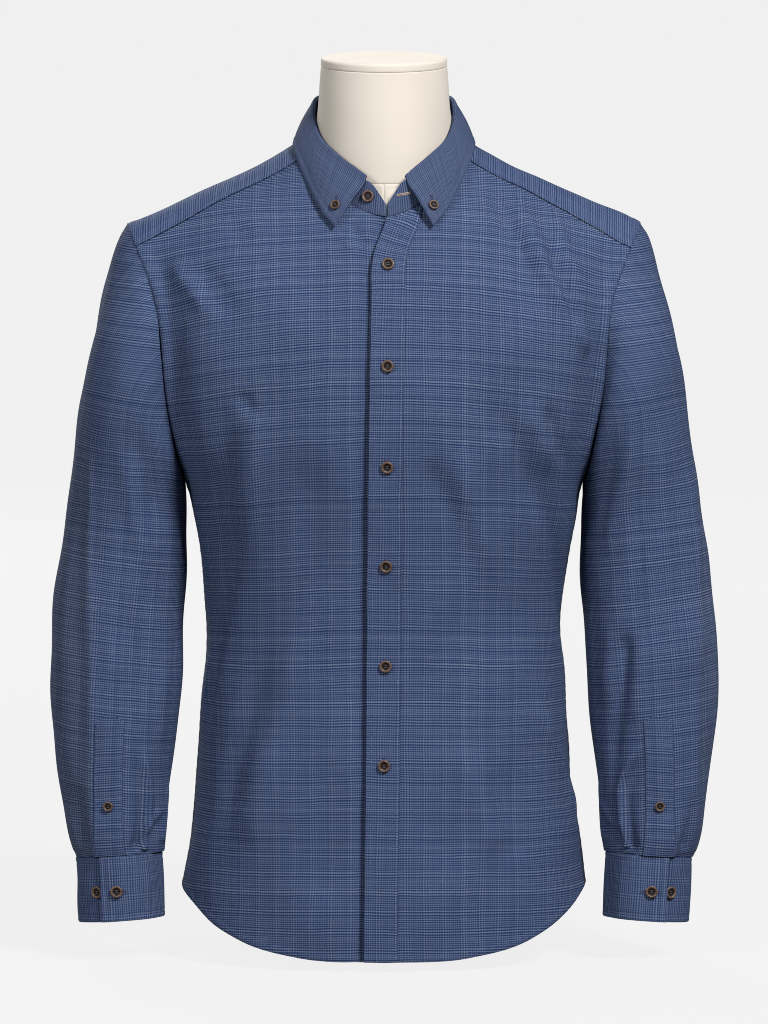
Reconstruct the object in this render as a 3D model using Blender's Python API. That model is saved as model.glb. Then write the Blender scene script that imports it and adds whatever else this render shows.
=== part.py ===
"""Long-sleeved dress shirt with a button-down collar, on a limbless counter-top dress form.

Metres, +Z up, the front of the shirt faces -Y, and the origin is the centre of the form's flat base.
Left and right are the wearer's, so the left side is at +X. The body panels are cut from one smooth
worn surface, so neighbouring panels meet at their seams.
"""
import math

import bpy
import numpy as np

# ---- cloth and seams
CLOTH = 0.0012              # one layer of shirting
DOUBLE = 0.0018             # an interlined double layer: collar, stand and cuffs
BAND = 0.0010               # the bands sewn on a panel
SEAM = 0.0003               # the gap between two pieces at their seam
LAYER_GAP = 0.0003          # the gap between a panel and what is sewn on it
MITRE_LEAST = 0.55          # keeps a sharp seam's face from growing too long

# ---- heights of the worn shirt
HEM_Z = 0.009               # the lowest point of the tails
SIDE_HEM_Z = 0.063          # where the tails meet at the side seam
ARMPIT_Z = 0.425
NECK_FRONT_Z = 0.6665       # the seam of the collar stand at the centre front
YOKE_BACK_Z = 0.640         # the back yoke seam at the centre back

# ---- the worn body: half width and depths at each height
BODY = np.array([
    # height, half width, front depth, back depth
    (-0.020, 0.1850, 0.1300, 0.1240),
    (0.063, 0.1800, 0.1280, 0.1200),
    (0.102, 0.1757, 0.1260, 0.1160),
    (0.174, 0.1674, 0.1210, 0.1070),
    (0.246, 0.1622, 0.1170, 0.1000),
    (0.310, 0.1598, 0.1160, 0.0980),
    (0.355, 0.1634, 0.1190, 0.1020),
    (0.391, 0.1705, 0.1230, 0.1070),
    (0.425, 0.1785, 0.1270, 0.1120),
    (0.460, 0.1970, 0.1300, 0.1160),
    (0.500, 0.2100, 0.1310, 0.1190),
    (0.540, 0.2200, 0.1290, 0.1210),
    (0.580, 0.2260, 0.1220, 0.1200),
    (0.610, 0.2200, 0.1130, 0.1160),
    (0.640, 0.1950, 0.1010, 0.1080),
    (0.6665, 0.1550, 0.0850, 0.0970),
    (0.700, 0.0980, 0.0560, 0.0830),
    (0.725, 0.0680, 0.0400, 0.0700),
    (0.7455, 0.0590, 0.0320, 0.0590),
    (0.780, 0.0500, 0.0280, 0.0500),
])
BODY_SQUARE = 2.35          # exponent of the body's section, where 2 is an ellipse
SHOULDER_AXIS = ((0.0450, 0.003, 0.6872), (0.2156, 0.003, 0.6108))
SHOULDER_RADIUS = 0.048
SHOULDER_REACH = 1.6        # the shoulder runs on past its axis, into the sleeve
SHOULDER_BLEND = 0.030      # how softly the shoulder runs into the chest

# ---- the armhole: where the cut lies sideways at each height
ARMHOLE = np.array([
    # height, distance from the middle
    (0.380, 0.1765),
    (0.425, 0.1785),
    (0.460, 0.1860),
    (0.500, 0.1930),
    (0.545, 0.1975),
    (0.590, 0.2025),
    (0.622, 0.2136),
    (0.6535, 0.2276),
    (0.690, 0.2460),
])
ARMHOLE_CENTRE_Z = 0.545
YOKE_FRONT_TURN = 158.0     # where the front yoke seam meets the armhole, in degrees round it
YOKE_BACK_TURN = 218.0      # where the back yoke seam does

# ---- the collar: its seam to the body and the top edge of its stand, for one side
COLLAR = np.array([
    # turn from the front, base x, base y, base z, top x, top y, top z
    (0.0, 0.0005, -0.0850, 0.6665, 0.0005, -0.0835, 0.6765),
    (7.0, 0.0100, -0.0838, 0.6685, 0.0085, -0.0812, 0.6890),
    (16.0, 0.0220, -0.0800, 0.6730, 0.0170, -0.0765, 0.6990),
    (35.0, 0.0460, -0.0650, 0.6865, 0.0385, -0.0600, 0.7160),
    (58.0, 0.0630, -0.0370, 0.7030, 0.0564, -0.0370, 0.7330),
    (75.0, 0.0690, -0.0150, 0.7190, 0.0624, -0.0144, 0.7490),
    (90.0, 0.0705, 0.0040, 0.7300, 0.0624, 0.0045, 0.7615),
    (120.0, 0.0610, 0.0335, 0.7385, 0.0530, 0.0310, 0.7700),
    (150.0, 0.0360, 0.0525, 0.7415, 0.0300, 0.0485, 0.7745),
    (180.0, 0.0000, 0.0590, 0.7420, 0.0000, 0.0545, 0.7760),
    (210.0, -0.0360, 0.0525, 0.7415, -0.0300, 0.0485, 0.7745),
])
MEET_X = 0.0025             # the collar's two ends meet this far to the wearer's left
MEET_REACH = 0.045          # and the cloth gives way over this distance
YOKE_NECK_TURN = 66.0       # where the front yoke seam meets the neckline, in degrees from the front
STAND_SHORT = 0.0016        # under the leaf's fold the stand is this much lower
LEAF_TURN = 16.0            # where the leaf begins on the stand's top edge
LEAF = np.array([
    # share of the way round, edge x, edge y, edge z, height above the body cloth
    (0.00, 0.0440, -0.0985, 0.6600, 0.0062),
    (0.12, 0.0560, -0.0880, 0.6750, 0.0052),
    (0.24, 0.0655, -0.0710, 0.6890, 0.0044),
    (0.38, 0.0735, -0.0400, 0.7060, 0.0032),
    (0.52, 0.0765, -0.0040, 0.7220, 0.0028),
    (0.66, 0.0660, 0.0330, 0.7260, 0.0036),
    (0.84, 0.0400, 0.0600, 0.7320, 0.0036),
    (1.00, 0.0000, 0.0700, 0.7330, 0.0040),
    (1.16, -0.0400, 0.0600, 0.7320, 0.0036),
])
FOLD_RISE = 0.0022          # the leaf's face above the stand's top edge
FOLD_OUT = 0.0036           # the leaf's face outside the stand, just below the fold
FOLD_DROP = 0.0040
LEAF_ROLL = 0.0016          # how far the leaf bulges between the fold and its edge

# ---- centre front: the edges of the two fronts and the placket on the upper one
PLACKET_WIDTH = 0.0295
PLACKET_SHORT = 0.0022      # the band ends this far below the collar seam
PLACKET_SHARES = [0.0, 0.27, 0.60, 1.0]  # its columns, as shares of its width
FRONT_EDGES = np.array([
    # height, x of the left front's edge, x of the right front's edge
    (-0.020, -0.0180, 0.0105),
    (0.145, -0.0160, 0.0125),
    (0.450, -0.0133, 0.0152),
    (0.600, -0.0108, 0.0170),
    (0.6244, -0.0104, 0.0120),
    (0.6400, -0.0068, 0.0030),
    (0.6520, -0.0020, -0.0036),
    (0.6600, 0.0012, -0.0002),
    (0.6700, 0.0036, 0.0024),
])
UNDER_DEPTH = 0.0020        # how far the right front lies below the left one
UNDER_START = 0.020         # it begins to dip this far outside the placket's edge
UNDER_END = 0.003           # and has dipped in full this far outside it
UNDER_FADE = (0.6525, 0.6640)

# ---- the hem
HEM = np.array([
    # distance from the middle, height above the lowest point
    (0.000, 0.0000),
    (0.075, 0.0031),
    (0.131, 0.0170),
    (0.156, 0.0310),
    (0.172, 0.0450),
    (0.180, 0.0540),
])

# ---- the sleeve: sections from the upper arm to the cuff
SLEEVE = np.array([
    # height, centre x, centre y, half width, half depth, sideways tilt, forward tilt
    (0.0935, 0.2375, -0.0300, 0.0390, 0.0385, -4.0, 4.0),
    (0.1050, 0.2386, -0.0290, 0.0422, 0.0415, -4.0, 4.0),
    (0.1410, 0.2401, -0.0250, 0.0480, 0.0475, -4.0, 4.0),
    (0.1760, 0.2413, -0.0210, 0.0528, 0.0515, -3.0, 3.0),
    (0.2115, 0.2415, -0.0170, 0.0566, 0.0550, -2.0, 2.0),
    (0.2475, 0.2408, -0.0130, 0.0586, 0.0580, 0.0, 1.0),
    (0.3195, 0.2368, -0.0070, 0.0586, 0.0620, 3.0, 0.0),
    (0.3920, 0.2312, -0.0020, 0.0548, 0.0650, 5.0, 0.0),
])
SLEEVE_ROWS = [0.392, 0.356, 0.320, 0.284, 0.248, 0.2235, 0.211, 0.190, 0.165, 0.141, 0.117, 0.0935]
CAP_ROWS = 5
STRIP_COLUMNS = slice(6, 9)  # of the sleeve's grid, along its placket
CAP_FLARE = np.array([
    # turn round the armhole, how far the sleeve leans away from the armhole's axis in degrees,
    # and how far that carries, against the straight way to the first row below
    (0.0, 70.0, 1.05),
    (45.0, 62.0, 1.05),
    (90.0, 30.0, 1.05),
    (135.0, 2.0, 0.95),
    (180.0, -40.0, 0.76),
    (225.0, 2.0, 0.95),
    (270.0, 30.0, 1.05),
    (315.0, 62.0, 1.05),
    (360.0, 70.0, 1.05),
])
ARMHOLE_LEAN = 25.0         # the armhole faces outwards and this far down, in degrees

# ---- cuffs and sleeve plackets
CUFF_HEIGHT = 0.0580
CUFF_SHIFT = (-0.0030, -0.0036)
CUFF_END_TURN = 113.0       # where the cuff's upper end stops, in degrees round the sleeve
CUFF_OVERLAP = 50.0
CUFF_LIFT = 0.0047          # the upper end stands off the under end, over its button
CUFF_LIFT_TURN = 30.0       # it begins to stand off here
GAUNTLET_WIDTH = 0.0245
GAUNTLET_TOP_Z = 0.2215
GAUNTLET_TURNS = (99.0, 91.5)  # its middle at the cuff and at its point, in degrees round the sleeve
POINT_SHARE = 0.85          # how far its top corners are drawn to the point
PLEAT_TURN = 66.0
PLEAT_WIDTH = 11.0
PLEAT_DEPTH = 0.0030
PLEAT_TOP_Z = 0.180
LIFT_TOP_Z = 0.145          # above this the sleeve doesn't feel the cuff's lifted end

# ---- buttons
BUTTON_RADIUS = 0.0055
SMALL_RADIUS = 0.0045
BUTTON_THICK = 0.0022
FRONT_BUTTONS = [(0.0036, 0.6244), (0.0031, 0.5364), (0.0027, 0.4476), (0.0018, 0.3595),
                 (0.0013, 0.2706), (0.0000, 0.1827)]
GAUNTLET_BUTTON_Z = 0.138
CUFF_BUTTON_TURNS = {"upper": 93.0, "under": 120.0}
CUFF_BUTTON_SHARE = 0.54    # of the cuff's height, from its top
STAND_BUTTON = (12.5, 0.52)     # turn round the neck, share of the stand's height
COLLAR_BUTTON = (24.0, 0.70)    # turn round the neck, share of the way from the fold to the edge
BUTTON_GAP = 0.0006         # under a button on a curved piece

# ---- the dress form inside the shirt
FORM_EASE = np.array([
    # height, gap to the worn surface at the side, front and back
    (0.000, 0.094, 0.066, 0.058),
    (0.040, 0.066, 0.046, 0.040),
    (0.100, 0.036, 0.028, 0.024),
    (0.180, 0.020, 0.018, 0.014),
    (0.280, 0.012, 0.012, 0.008),
    (0.400, 0.009, 0.009, 0.007),
    (0.460, 0.016, 0.009, 0.007),
    (0.560, 0.020, 0.008, 0.006),
    (0.610, 0.012, 0.008, 0.005),
    (0.650, 0.004, 0.007, 0.004),
    (0.700, 0.003, 0.006, 0.004),
    (0.800, 0.003, 0.006, 0.004),
])
FORM_SHOULDER_GAP = 0.0026  # from the worn surface down to the form's shoulder
FORM_ARM_TRIM = 0.008       # the form's shoulder ends this far inside the armhole
FORM_BLEND = 0.012
NECK = np.array([
    # height, half width, half depth, centre y
    (0.560, 0.0640, 0.0620, -0.0040),
    (0.700, 0.0598, 0.0590, -0.0085),
    (0.754, 0.0588, 0.0578, -0.0105),
    (0.773, 0.0580, 0.0570, -0.0112),
    (0.810, 0.0553, 0.0553, -0.0125),
])
NECK_TOP_Z = 0.7975
NECK_TOP_TILT = 5.4         # the neck's end is tipped forward by this many degrees
CAP_THICK = 0.0078
CAP_ROUND = 0.0030

# ---- colours and finishes
LOOKS = {
    # slot: colour, roughness, metallic
    "shirting": ((0.085, 0.125, 0.260), 0.85, 0.0),
    "button": ((0.110, 0.058, 0.038), 0.40, 0.0),
    "form_cover": ((0.800, 0.760, 0.700), 0.80, 0.0),
}

# ---- how the panels are divided
LOWER_ROWS = 7              # from the hem to the armpit
UPPER_HEIGHTS = [0.4595, 0.494, 0.5285, 0.563, 0.5975, 0.632, 0.652]  # a front's rows over the armpit
UPPER_ROWS = len(UPPER_HEIGHTS) + 1     # with the one that ends at the collar seam
PLACKET_TURNS = [0.0, 7.0, 16.0, 27.0]  # where the placket's columns reach the neckline
NECK_TURNS = [39.0, 52.0, 66.0]         # the further rows of a front start here
BACK_ROWS = 8               # on the back, from the armpit to the yoke
YOKE_ROWS = 5               # of the yoke, along the armhole
CUFF_COLUMNS = 30
BACK_SHARES = np.linspace(0, 1, 9)
FRONT_SHARES = np.array([0.0, 0.14, 0.29, 0.44, 0.59, 0.74, 0.88, 1.0])
FRONT_ARM = np.linspace(0, YOKE_FRONT_TURN, UPPER_ROWS + len(NECK_TURNS) + 1)
YOKE_ARM = np.linspace(YOKE_FRONT_TURN, YOKE_BACK_TURN, YOKE_ROWS + 1)
BACK_ARM = np.linspace(YOKE_BACK_TURN, 360.0, BACK_ROWS + 1)
YOKE_NECK = np.linspace(YOKE_NECK_TURN, 180.0, YOKE_ROWS + len(BACK_SHARES))
LOWER_BULGE = 0.056         # how far a row's points are pushed out before they are laid on the body
UPPER_BULGE = 0.049
NECK_BULGE = 0.010
YOKE_BULGE = 0.004
MIRROR = np.array([-1.0, 1.0, 1.0])
DOWN = np.array([0.0, 0.0, -1.0])


# ------------------------------------------------------------------ small maths
def smooth(table_x, table_y, x):
    """A smooth curve through the rows of a table."""
    slopes = np.gradient(table_y, table_x)
    x = np.clip(x, table_x[0], table_x[-1])
    i = np.clip(np.searchsorted(table_x, x, side="right") - 1, 0, len(table_x) - 2)
    step = table_x[i + 1] - table_x[i]
    t = (x - table_x[i]) / step
    return (
        (2 * t**3 - 3 * t**2 + 1) * table_y[i]
        + (t**3 - 2 * t**2 + t) * step * slopes[i]
        + (3 * t**2 - 2 * t**3) * table_y[i + 1]
        + (t**3 - t**2) * step * slopes[i + 1]
    )


def column(table, k, x):
    """Column k of a table, read smoothly at x of its first column."""
    return smooth(table[:, 0], table[:, k], np.asarray(x, float))


def columns(table, ks, x):
    return np.stack([column(table, k, x) for k in ks], axis=-1)


def ease(x, low, high):
    """0 below low, 1 above high, with a soft change between."""
    t = np.clip((np.asarray(x, float) - low) / (high - low), 0.0, 1.0)
    return t * t * (3 - 2 * t)


def unit(vectors):
    return vectors / np.maximum(np.linalg.norm(vectors, axis=-1, keepdims=True), 1e-12)


def points_at(x, y, z):
    return np.stack(np.broadcast_arrays(x, y, z), axis=-1).astype(float)


# ------------------------------------------------------------------ the worn surface
def section_level(points, half, front, back):
    """About how far points lie outside a body of these half widths and depths."""
    x, y = np.abs(points[..., 0]), points[..., 1]
    depth = np.where(y < 0, front, back)
    size = ((x / half) ** BODY_SQUARE + (np.abs(y) / depth) ** BODY_SQUARE) ** (1 / BODY_SQUARE)
    return (np.hypot(x, y) + 1e-9) * (1 - 1 / (size + 1e-9))


def shoulder_level(points, radius):
    start, end = np.array(SHOULDER_AXIS)
    way = end - start
    from_start = np.abs(points) * [1, 0, 0] + points * [0, 1, 1] - start
    along = np.clip(from_start @ way / (way @ way), 0, SHOULDER_REACH)
    return np.linalg.norm(from_start - along[..., None] * way, axis=-1) - radius


def joined(a, b, blend):
    """The level of two bodies run softly into one."""
    near = np.maximum(blend - np.abs(a - b), 0) / blend
    return np.minimum(a, b) - near**2 * blend / 4


def body_level(points):
    """About how far points lie outside the worn surface; negative inside it."""
    z = points[..., 2]
    trunk = section_level(points, *(column(BODY, k, z) for k in (1, 2, 3)))
    return joined(trunk, shoulder_level(points, SHOULDER_RADIUS), SHOULDER_BLEND)


def slope_of(points):
    step = 2e-5
    return np.stack([
        (body_level(points + step * axis) - body_level(points - step * axis)) / (2 * step)
        for axis in np.eye(3)
    ], axis=-1)


def onto_body(points, height=0.0):
    """Points moved onto the worn surface, or this far outside it."""
    points = np.array(points, float)
    for _ in range(14):
        slope = slope_of(points)
        steep = np.maximum((slope**2).sum(-1), 0.2)
        points = points - slope * ((body_level(points) - height) / steep)[..., None]
    return points


def body_normal(points):
    return unit(slope_of(points))


def on_face(x, z, face):
    """The point of the front (face -1) or the back (face 1) at this x and height."""
    x, z = np.broadcast_arrays(np.asarray(x, float), np.asarray(z, float))
    low, high = np.zeros(x.shape), np.full(x.shape, 0.17)
    for _ in range(40):
        middle = (low + high) / 2
        outside = body_level(points_at(x, face * middle, z)) > 0
        high, low = np.where(outside, middle, high), np.where(outside, low, middle)
    return points_at(x, face * (low + high) / 2, z)


def armhole_points(turns):
    """The left armhole's seam: 0 is under the arm, 90 in front, 180 on top and 270 behind."""
    turns = np.radians(np.asarray(turns, float))
    low, high = np.full(turns.shape, 0.02), np.full(turns.shape, 0.135)

    def place(reach):
        z = ARMHOLE_CENTRE_Z - np.cos(turns) * reach
        return points_at(column(ARMHOLE, 1, z), -np.sin(turns) * reach, z)

    for _ in range(40):
        middle = (low + high) / 2
        outside = body_level(place(middle)) > 0
        high, low = np.where(outside, middle, high), np.where(outside, low, middle)
    return place((low + high) / 2)


def giving_way(points):
    """Moves the collar's ends, and the cloth beside them, to where they meet."""
    moved = points.copy()
    moved[..., 0] += MEET_X * (1 - ease(np.abs(points[..., 0]), 0, MEET_REACH)) * (points[..., 1] < 0)
    return moved


def neckline(turns, side):
    """The seam of the collar stand: 0 is the centre front, 180 the centre back."""
    flat = columns(COLLAR, (1, 2, 3), turns) * np.array([side, 1.0, 1.0])
    return onto_body(giving_way(flat))


def stand_top(turns, side):
    return giving_way(columns(COLLAR, (4, 5, 6), turns) * np.array([side, 1.0, 1.0]))


def laid_rows(inner, outer, shares, bulge):
    """Rows of points from inner to outer ends, pushed outwards and then laid on the worn surface."""
    t = np.asarray(shares)[None, :, None]
    push = unit((inner + outer) / 2 * np.array([1.0, 1.0, 0.0]))
    rows = inner[:, None] + (outer - inner)[:, None] * t
    rows = rows + push[:, None] * (4 * t * (1 - t) * np.asarray(bulge)[:, None, None])
    rows = onto_body(rows)
    rows[:, 0], rows[:, -1] = inner, outer
    return rows


# ------------------------------------------------------------------ panels as grids of points
def level_hem(grid):
    """The first row follows the tail's curve, and the rows above it make room."""
    for _ in range(3):
        hem_z = HEM_Z + smooth(HEM[:, 0], HEM[:, 1], np.abs(grid[0, :, 0]))
        lift = hem_z - grid[0, :, 2]
        for row in range(LOWER_ROWS):
            moved = grid[row] - DOWN * (lift * (1 - row / LOWER_ROWS) ** 1.5)[:, None]
            grid[row, :-1] = onto_body(moved)[:-1]
    return grid


def side_seam(side):
    z = np.linspace(SIDE_HEM_Z, ARMPIT_Z, LOWER_ROWS + 1)
    return points_at(side * column(BODY, 1, z), 0.0, z)


def front_panel(side):
    """One front: rows from the hem to the yoke seam, columns from its front edge to the side.

    The first columns run beside the front edge and end at the neckline, so the last rows lack them.
    """
    mirror = np.array([side, 1.0, 1.0])
    heights = np.concatenate([np.linspace(HEM_Z, ARMPIT_Z, LOWER_ROWS + 1), UPPER_HEIGHTS])
    edge_x = column(FRONT_EDGES, 1 if side > 0 else 2, heights)
    strip = on_face(edge_x[:, None] + side * PLACKET_WIDTH * np.array(PLACKET_SHARES), heights[:, None], -1)
    strip = np.concatenate([strip, neckline(PLACKET_TURNS, side)[None]])
    inner = np.concatenate([strip[:, -1], neckline(NECK_TURNS, side)])
    outer = np.concatenate([side_seam(side), armhole_points(FRONT_ARM[1:]) * mirror])
    bulge = np.concatenate([
        np.full(LOWER_ROWS + 1, LOWER_BULGE),
        np.linspace(UPPER_BULGE, NECK_BULGE, UPPER_ROWS),
        np.full(len(NECK_TURNS), NECK_BULGE),
    ])
    wide = laid_rows(inner, outer, FRONT_SHARES, bulge)
    wide[-1] = front_yoke_seam(side)
    missing = np.repeat(wide[len(strip):, :1], len(PLACKET_SHARES) - 1, axis=1)
    grid = np.concatenate([np.concatenate([strip[:, :-1], missing]), wide], axis=1)
    grid = level_hem(grid)
    if side < 0:
        grid = dipped(grid)
    return grid


def front_cloth():
    """Which quads of a front's grid are cloth."""
    rows = LOWER_ROWS + UPPER_ROWS + len(NECK_TURNS)
    kept = np.ones((rows, len(PLACKET_SHARES) + len(FRONT_SHARES) - 2), bool)
    kept[LOWER_ROWS + UPPER_ROWS:, :len(PLACKET_SHARES) - 1] = False
    return kept


def dipped(grid):
    """The right front passes under the left one."""
    x, z = grid[..., 0], grid[..., 2]
    edge = column(FRONT_EDGES, 1, z)
    under = ease(x, edge - UNDER_START, edge - UNDER_END) * (1 - ease(z, *UNDER_FADE))
    return grid - body_normal(grid) * (UNDER_DEPTH * under)[..., None]


def front_yoke_seam(side):
    start = neckline([YOKE_NECK_TURN], side)
    end = armhole_points([YOKE_FRONT_TURN]) * np.array([side, 1.0, 1.0])
    return laid_rows(start, end, FRONT_SHARES, [0.0])[0]


def back_yoke_seam():
    """From the centre back to the left armhole."""
    end = armhole_points([YOKE_BACK_TURN])[0]
    drop = (YOKE_BACK_Z - end[2]) * BACK_SHARES**2
    seam = on_face(end[0] * BACK_SHARES, YOKE_BACK_Z - drop, 1)
    seam[-1] = end
    return seam


def back_panel():
    """The whole back: rows from the hem to the yoke, columns from one side seam to the other."""
    middle = np.concatenate([
        np.linspace(HEM_Z, ARMPIT_Z, LOWER_ROWS + 1),
        np.linspace(ARMPIT_Z, YOKE_BACK_Z, BACK_ROWS + 1)[1:],
    ])
    inner = on_face(0.0, middle, 1)
    outer = np.concatenate([side_seam(1), armhole_points(BACK_ARM[::-1][1:])])
    bulge = np.concatenate([
        np.full(LOWER_ROWS + 1, LOWER_BULGE),
        np.linspace(UPPER_BULGE, NECK_BULGE, BACK_ROWS),
    ])
    half = laid_rows(inner, outer, BACK_SHARES, bulge)
    half[-1] = back_yoke_seam()
    half = level_hem(half)
    return np.concatenate([(half * MIRROR)[:, ::-1], half[:, 1:]], axis=1)


def yoke_panel():
    """Over both shoulders: rows fan round the neck from one front seam to the other."""
    halves = []
    for side in (1, -1):
        mirror = np.array([side, 1.0, 1.0])
        inner = neckline(YOKE_NECK, side)
        outer = np.concatenate([armhole_points(YOKE_ARM), back_yoke_seam()[::-1][1:]]) * mirror
        half = laid_rows(inner, outer, FRONT_SHARES, np.full(len(inner), YOKE_BULGE))
        half[0] = front_yoke_seam(side)
        halves.append(half)
    return np.concatenate([halves[0], halves[1][::-1][1:]])


# ------------------------------------------------------------------ sleeves and cuffs
def tilted_ring(centre, half, depth, sideways, forward, turns, out=0.0):
    """One section of the left sleeve: turn 0 faces the body, 90 the front and 180 outwards."""
    turns = np.radians(np.asarray(turns, float))
    across = np.array([math.cos(math.radians(sideways)), 0.0, math.sin(math.radians(sideways))])
    ahead = np.array([0.0, -math.cos(math.radians(forward)), math.sin(math.radians(forward))])
    return (
        np.asarray(centre)
        - across * (np.cos(turns) * (half + out))[:, None]
        + ahead * (np.sin(turns) * (depth + out))[:, None]
    )


def sleeve_ring(z, turns, out=0.0):
    x, y, half, depth, sideways, forward = columns(SLEEVE, range(1, 7), z)
    return tilted_ring((x, y, z), half, depth, sideways, forward, turns, out)


def sleeve_turns(z):
    """Even turns round the armhole, which lower down keep three columns along the sleeve placket."""
    even = np.concatenate([FRONT_ARM[:-1], YOKE_ARM[:-1], BACK_ARM[:-1]])
    reach = math.degrees(GAUNTLET_WIDTH / 2 / float(column(SLEEVE, 3, z)))
    middle = np.interp(z, (SLEEVE_ROWS[-1], GAUNTLET_TOP_Z), GAUNTLET_TURNS)
    strip = middle + np.array([-reach, 0.0, reach])
    before = np.linspace(0, strip[0], STRIP_COLUMNS.start + 1)[:-1]
    after = np.linspace(strip[2], 360.0, len(even) - STRIP_COLUMNS.start - 1)[1:-1]
    return even + (np.concatenate([before, strip, after]) - even) * (1 - ease(z, 0.25, 0.40))


def swell(turns, z):
    """How far the sleeve stands out: at its pleat, and where the cuff's upper end lifts it."""
    crest = np.clip(1 - np.abs(turns - PLEAT_TURN) / PLEAT_WIDTH, 0, 1)
    fold = PLEAT_DEPTH * crest * (1 - ease(z, 0.105, PLEAT_TOP_Z)) * ease(z, 0.0935, 0.100)
    over = ease(turns, 55.0, 80.0) * (1 - ease(turns, 117.0, 130.0))
    return fold + CUFF_LIFT * over * (1 - ease(z, 0.0935, LIFT_TOP_Z))


def cap_directions(turns):
    """How the sleeve leaves the armhole."""
    lean = math.radians(ARMHOLE_LEAN)
    axis = np.array([math.cos(lean), 0.0, -math.sin(lean)])
    spread = np.radians(turns)
    radial = points_at(0.0, -np.sin(spread), -np.cos(spread))
    radial = unit(radial - (radial @ axis)[:, None] * axis)
    flare = np.radians(column(CAP_FLARE, 1, turns))[:, None]
    return np.cos(flare) * axis + np.sin(flare) * radial


def sleeve_grid():
    """Rings of the left sleeve from the armhole down to the cuff."""
    first = SLEEVE_ROWS[0]
    turns = sleeve_turns(first + 1.0)
    start, end = armhole_points(turns), sleeve_ring(first, sleeve_turns(first))
    reach = np.linalg.norm(end - start, axis=1)[:, None]
    leave = cap_directions(turns) * reach * column(CAP_FLARE, 2, turns)[:, None]
    arrive = unit(sleeve_ring(first - 0.02, sleeve_turns(first)) - end) * reach
    rings = []
    for t in np.linspace(0, 1, CAP_ROWS + 1)[:-1]:
        rings.append(
            (2 * t**3 - 3 * t**2 + 1) * start + (t**3 - 2 * t**2 + t) * leave
            + (3 * t**2 - 2 * t**3) * end + (t**3 - t**2) * arrive
        )
    for z in SLEEVE_ROWS:
        at = sleeve_turns(z)
        rings.append(sleeve_ring(z, at, swell(at, z)))
    return np.array(rings)


def cuff_rows(turns, out):
    """The cuff's top and foot edges on the left arm."""
    x, y, half, depth, sideways, forward = columns(SLEEVE, range(1, 7), SLEEVE_ROWS[-1])
    top = np.array([x, y, SLEEVE_ROWS[-1]]) + DOWN * SEAM
    foot = top + np.array([*CUFF_SHIFT, -CUFF_HEIGHT])
    return [tilted_ring(centre, half, depth, sideways, forward, turns, out) for centre in (top, foot)]


def cuff_grid():
    """Once round the wrist, from the under end to the upper end that lies over it."""
    turns = np.linspace(CUFF_END_TURN - CUFF_OVERLAP, CUFF_END_TURN + 360.0, CUFF_COLUMNS)
    out = CUFF_LIFT * ease(turns, 360.0 + CUFF_LIFT_TURN, 360.0 + CUFF_END_TURN - CUFF_OVERLAP)
    top, foot = cuff_rows(turns, out)
    return np.array([top, (top + foot) / 2, foot])


# ------------------------------------------------------------------ seam directions
def mitre(one, other):
    """The direction of a seam's face between cloth of two facings."""
    middle = unit(one + other)
    return middle / np.maximum((middle * one).sum(-1), MITRE_LEAST)[:, None]


def armhole_mitre(turns):
    points = armhole_points(turns)
    along = unit(armhole_points(np.asarray(turns) + 0.5) - armhole_points(np.asarray(turns) - 0.5))
    sleeve = unit(np.cross(along, cap_directions(np.asarray(turns, float))))
    spread = np.radians(turns)
    facing = points_at(0.35, -np.sin(spread), -np.cos(spread))
    sleeve = np.where(((sleeve * facing).sum(-1) < 0)[:, None], -sleeve, sleeve)
    return mitre(body_normal(points), sleeve)


def neck_mitre(turns, side):
    points = neckline(turns, side)
    rise = unit(stand_top(turns, side) - points)
    along = unit(neckline(np.asarray(turns) + 0.5, side) - neckline(np.asarray(turns) - 0.5, side))
    stand = unit(np.cross(along, rise)) * side
    return mitre(body_normal(points), stand)


# ------------------------------------------------------------------ solids
def grid_normals(grid, closed=False):
    """Directions out of a grid, from its columns and rows."""
    if closed:
        across = np.roll(grid, -1, axis=1) - np.roll(grid, 1, axis=1)
    else:
        across = np.gradient(grid, axis=1)
    return unit(np.cross(across, np.gradient(grid, axis=0)))


def side_word(side):
    return "left" if side > 0 else "right"


def wall(name, inner, outer, slot, closed=False, kept=None):
    """A closed wall between two grids of points, as one object, where kept says which quads are cloth."""
    rows, cols = inner.shape[:2]
    spans = cols if closed else cols - 1
    kept = np.ones((rows - 1, spans), bool) if kept is None else kept
    faces = []

    def at(corner, skin):
        return (skin * rows + corner[0]) * cols + corner[1] % cols

    def is_cloth(i, j):
        j = j % cols if closed else j
        return 0 <= i < rows - 1 and 0 <= j < spans and kept[i, j]

    for i, j in np.argwhere(kept):
        corners = [(i, j), (i, j + 1), (i + 1, j + 1), (i + 1, j)]
        faces.append([at(corner, 1) for corner in corners])
        faces.append([at(corner, 0) for corner in corners[::-1]])
        beside = [(i - 1, j), (i, j + 1), (i + 1, j), (i, j - 1)]
        for first, second, neighbour in zip(corners, corners[1:] + corners[:1], beside):
            if not is_cloth(*neighbour):
                faces.append([at(first, 0), at(second, 0), at(second, 1), at(first, 1)])
    used, faces = np.unique(np.array(faces), return_inverse=True)
    points = np.concatenate([inner.reshape(-1, 3), outer.reshape(-1, 3)])[used]
    return add_mesh(name, points, faces.reshape(-1, 4).tolist(), slot)


def add_mesh(name, points, faces, slot):
    mesh = bpy.data.meshes.new(name)
    mesh.from_pydata(points.tolist(), [], faces)
    mesh.calc_loop_triangles()
    corners = points[[tuple(triangle.vertices) for triangle in mesh.loop_triangles]]
    if np.linalg.det(corners).sum() < 0:
        mesh.flip_normals()
    mesh.shade_smooth()
    mesh.set_sharp_from_angle(angle=math.radians(50))
    mesh.materials.append(material(slot))
    thing = bpy.data.objects.new(name, mesh)
    bpy.context.scene.collection.objects.link(thing)
    return thing


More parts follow.
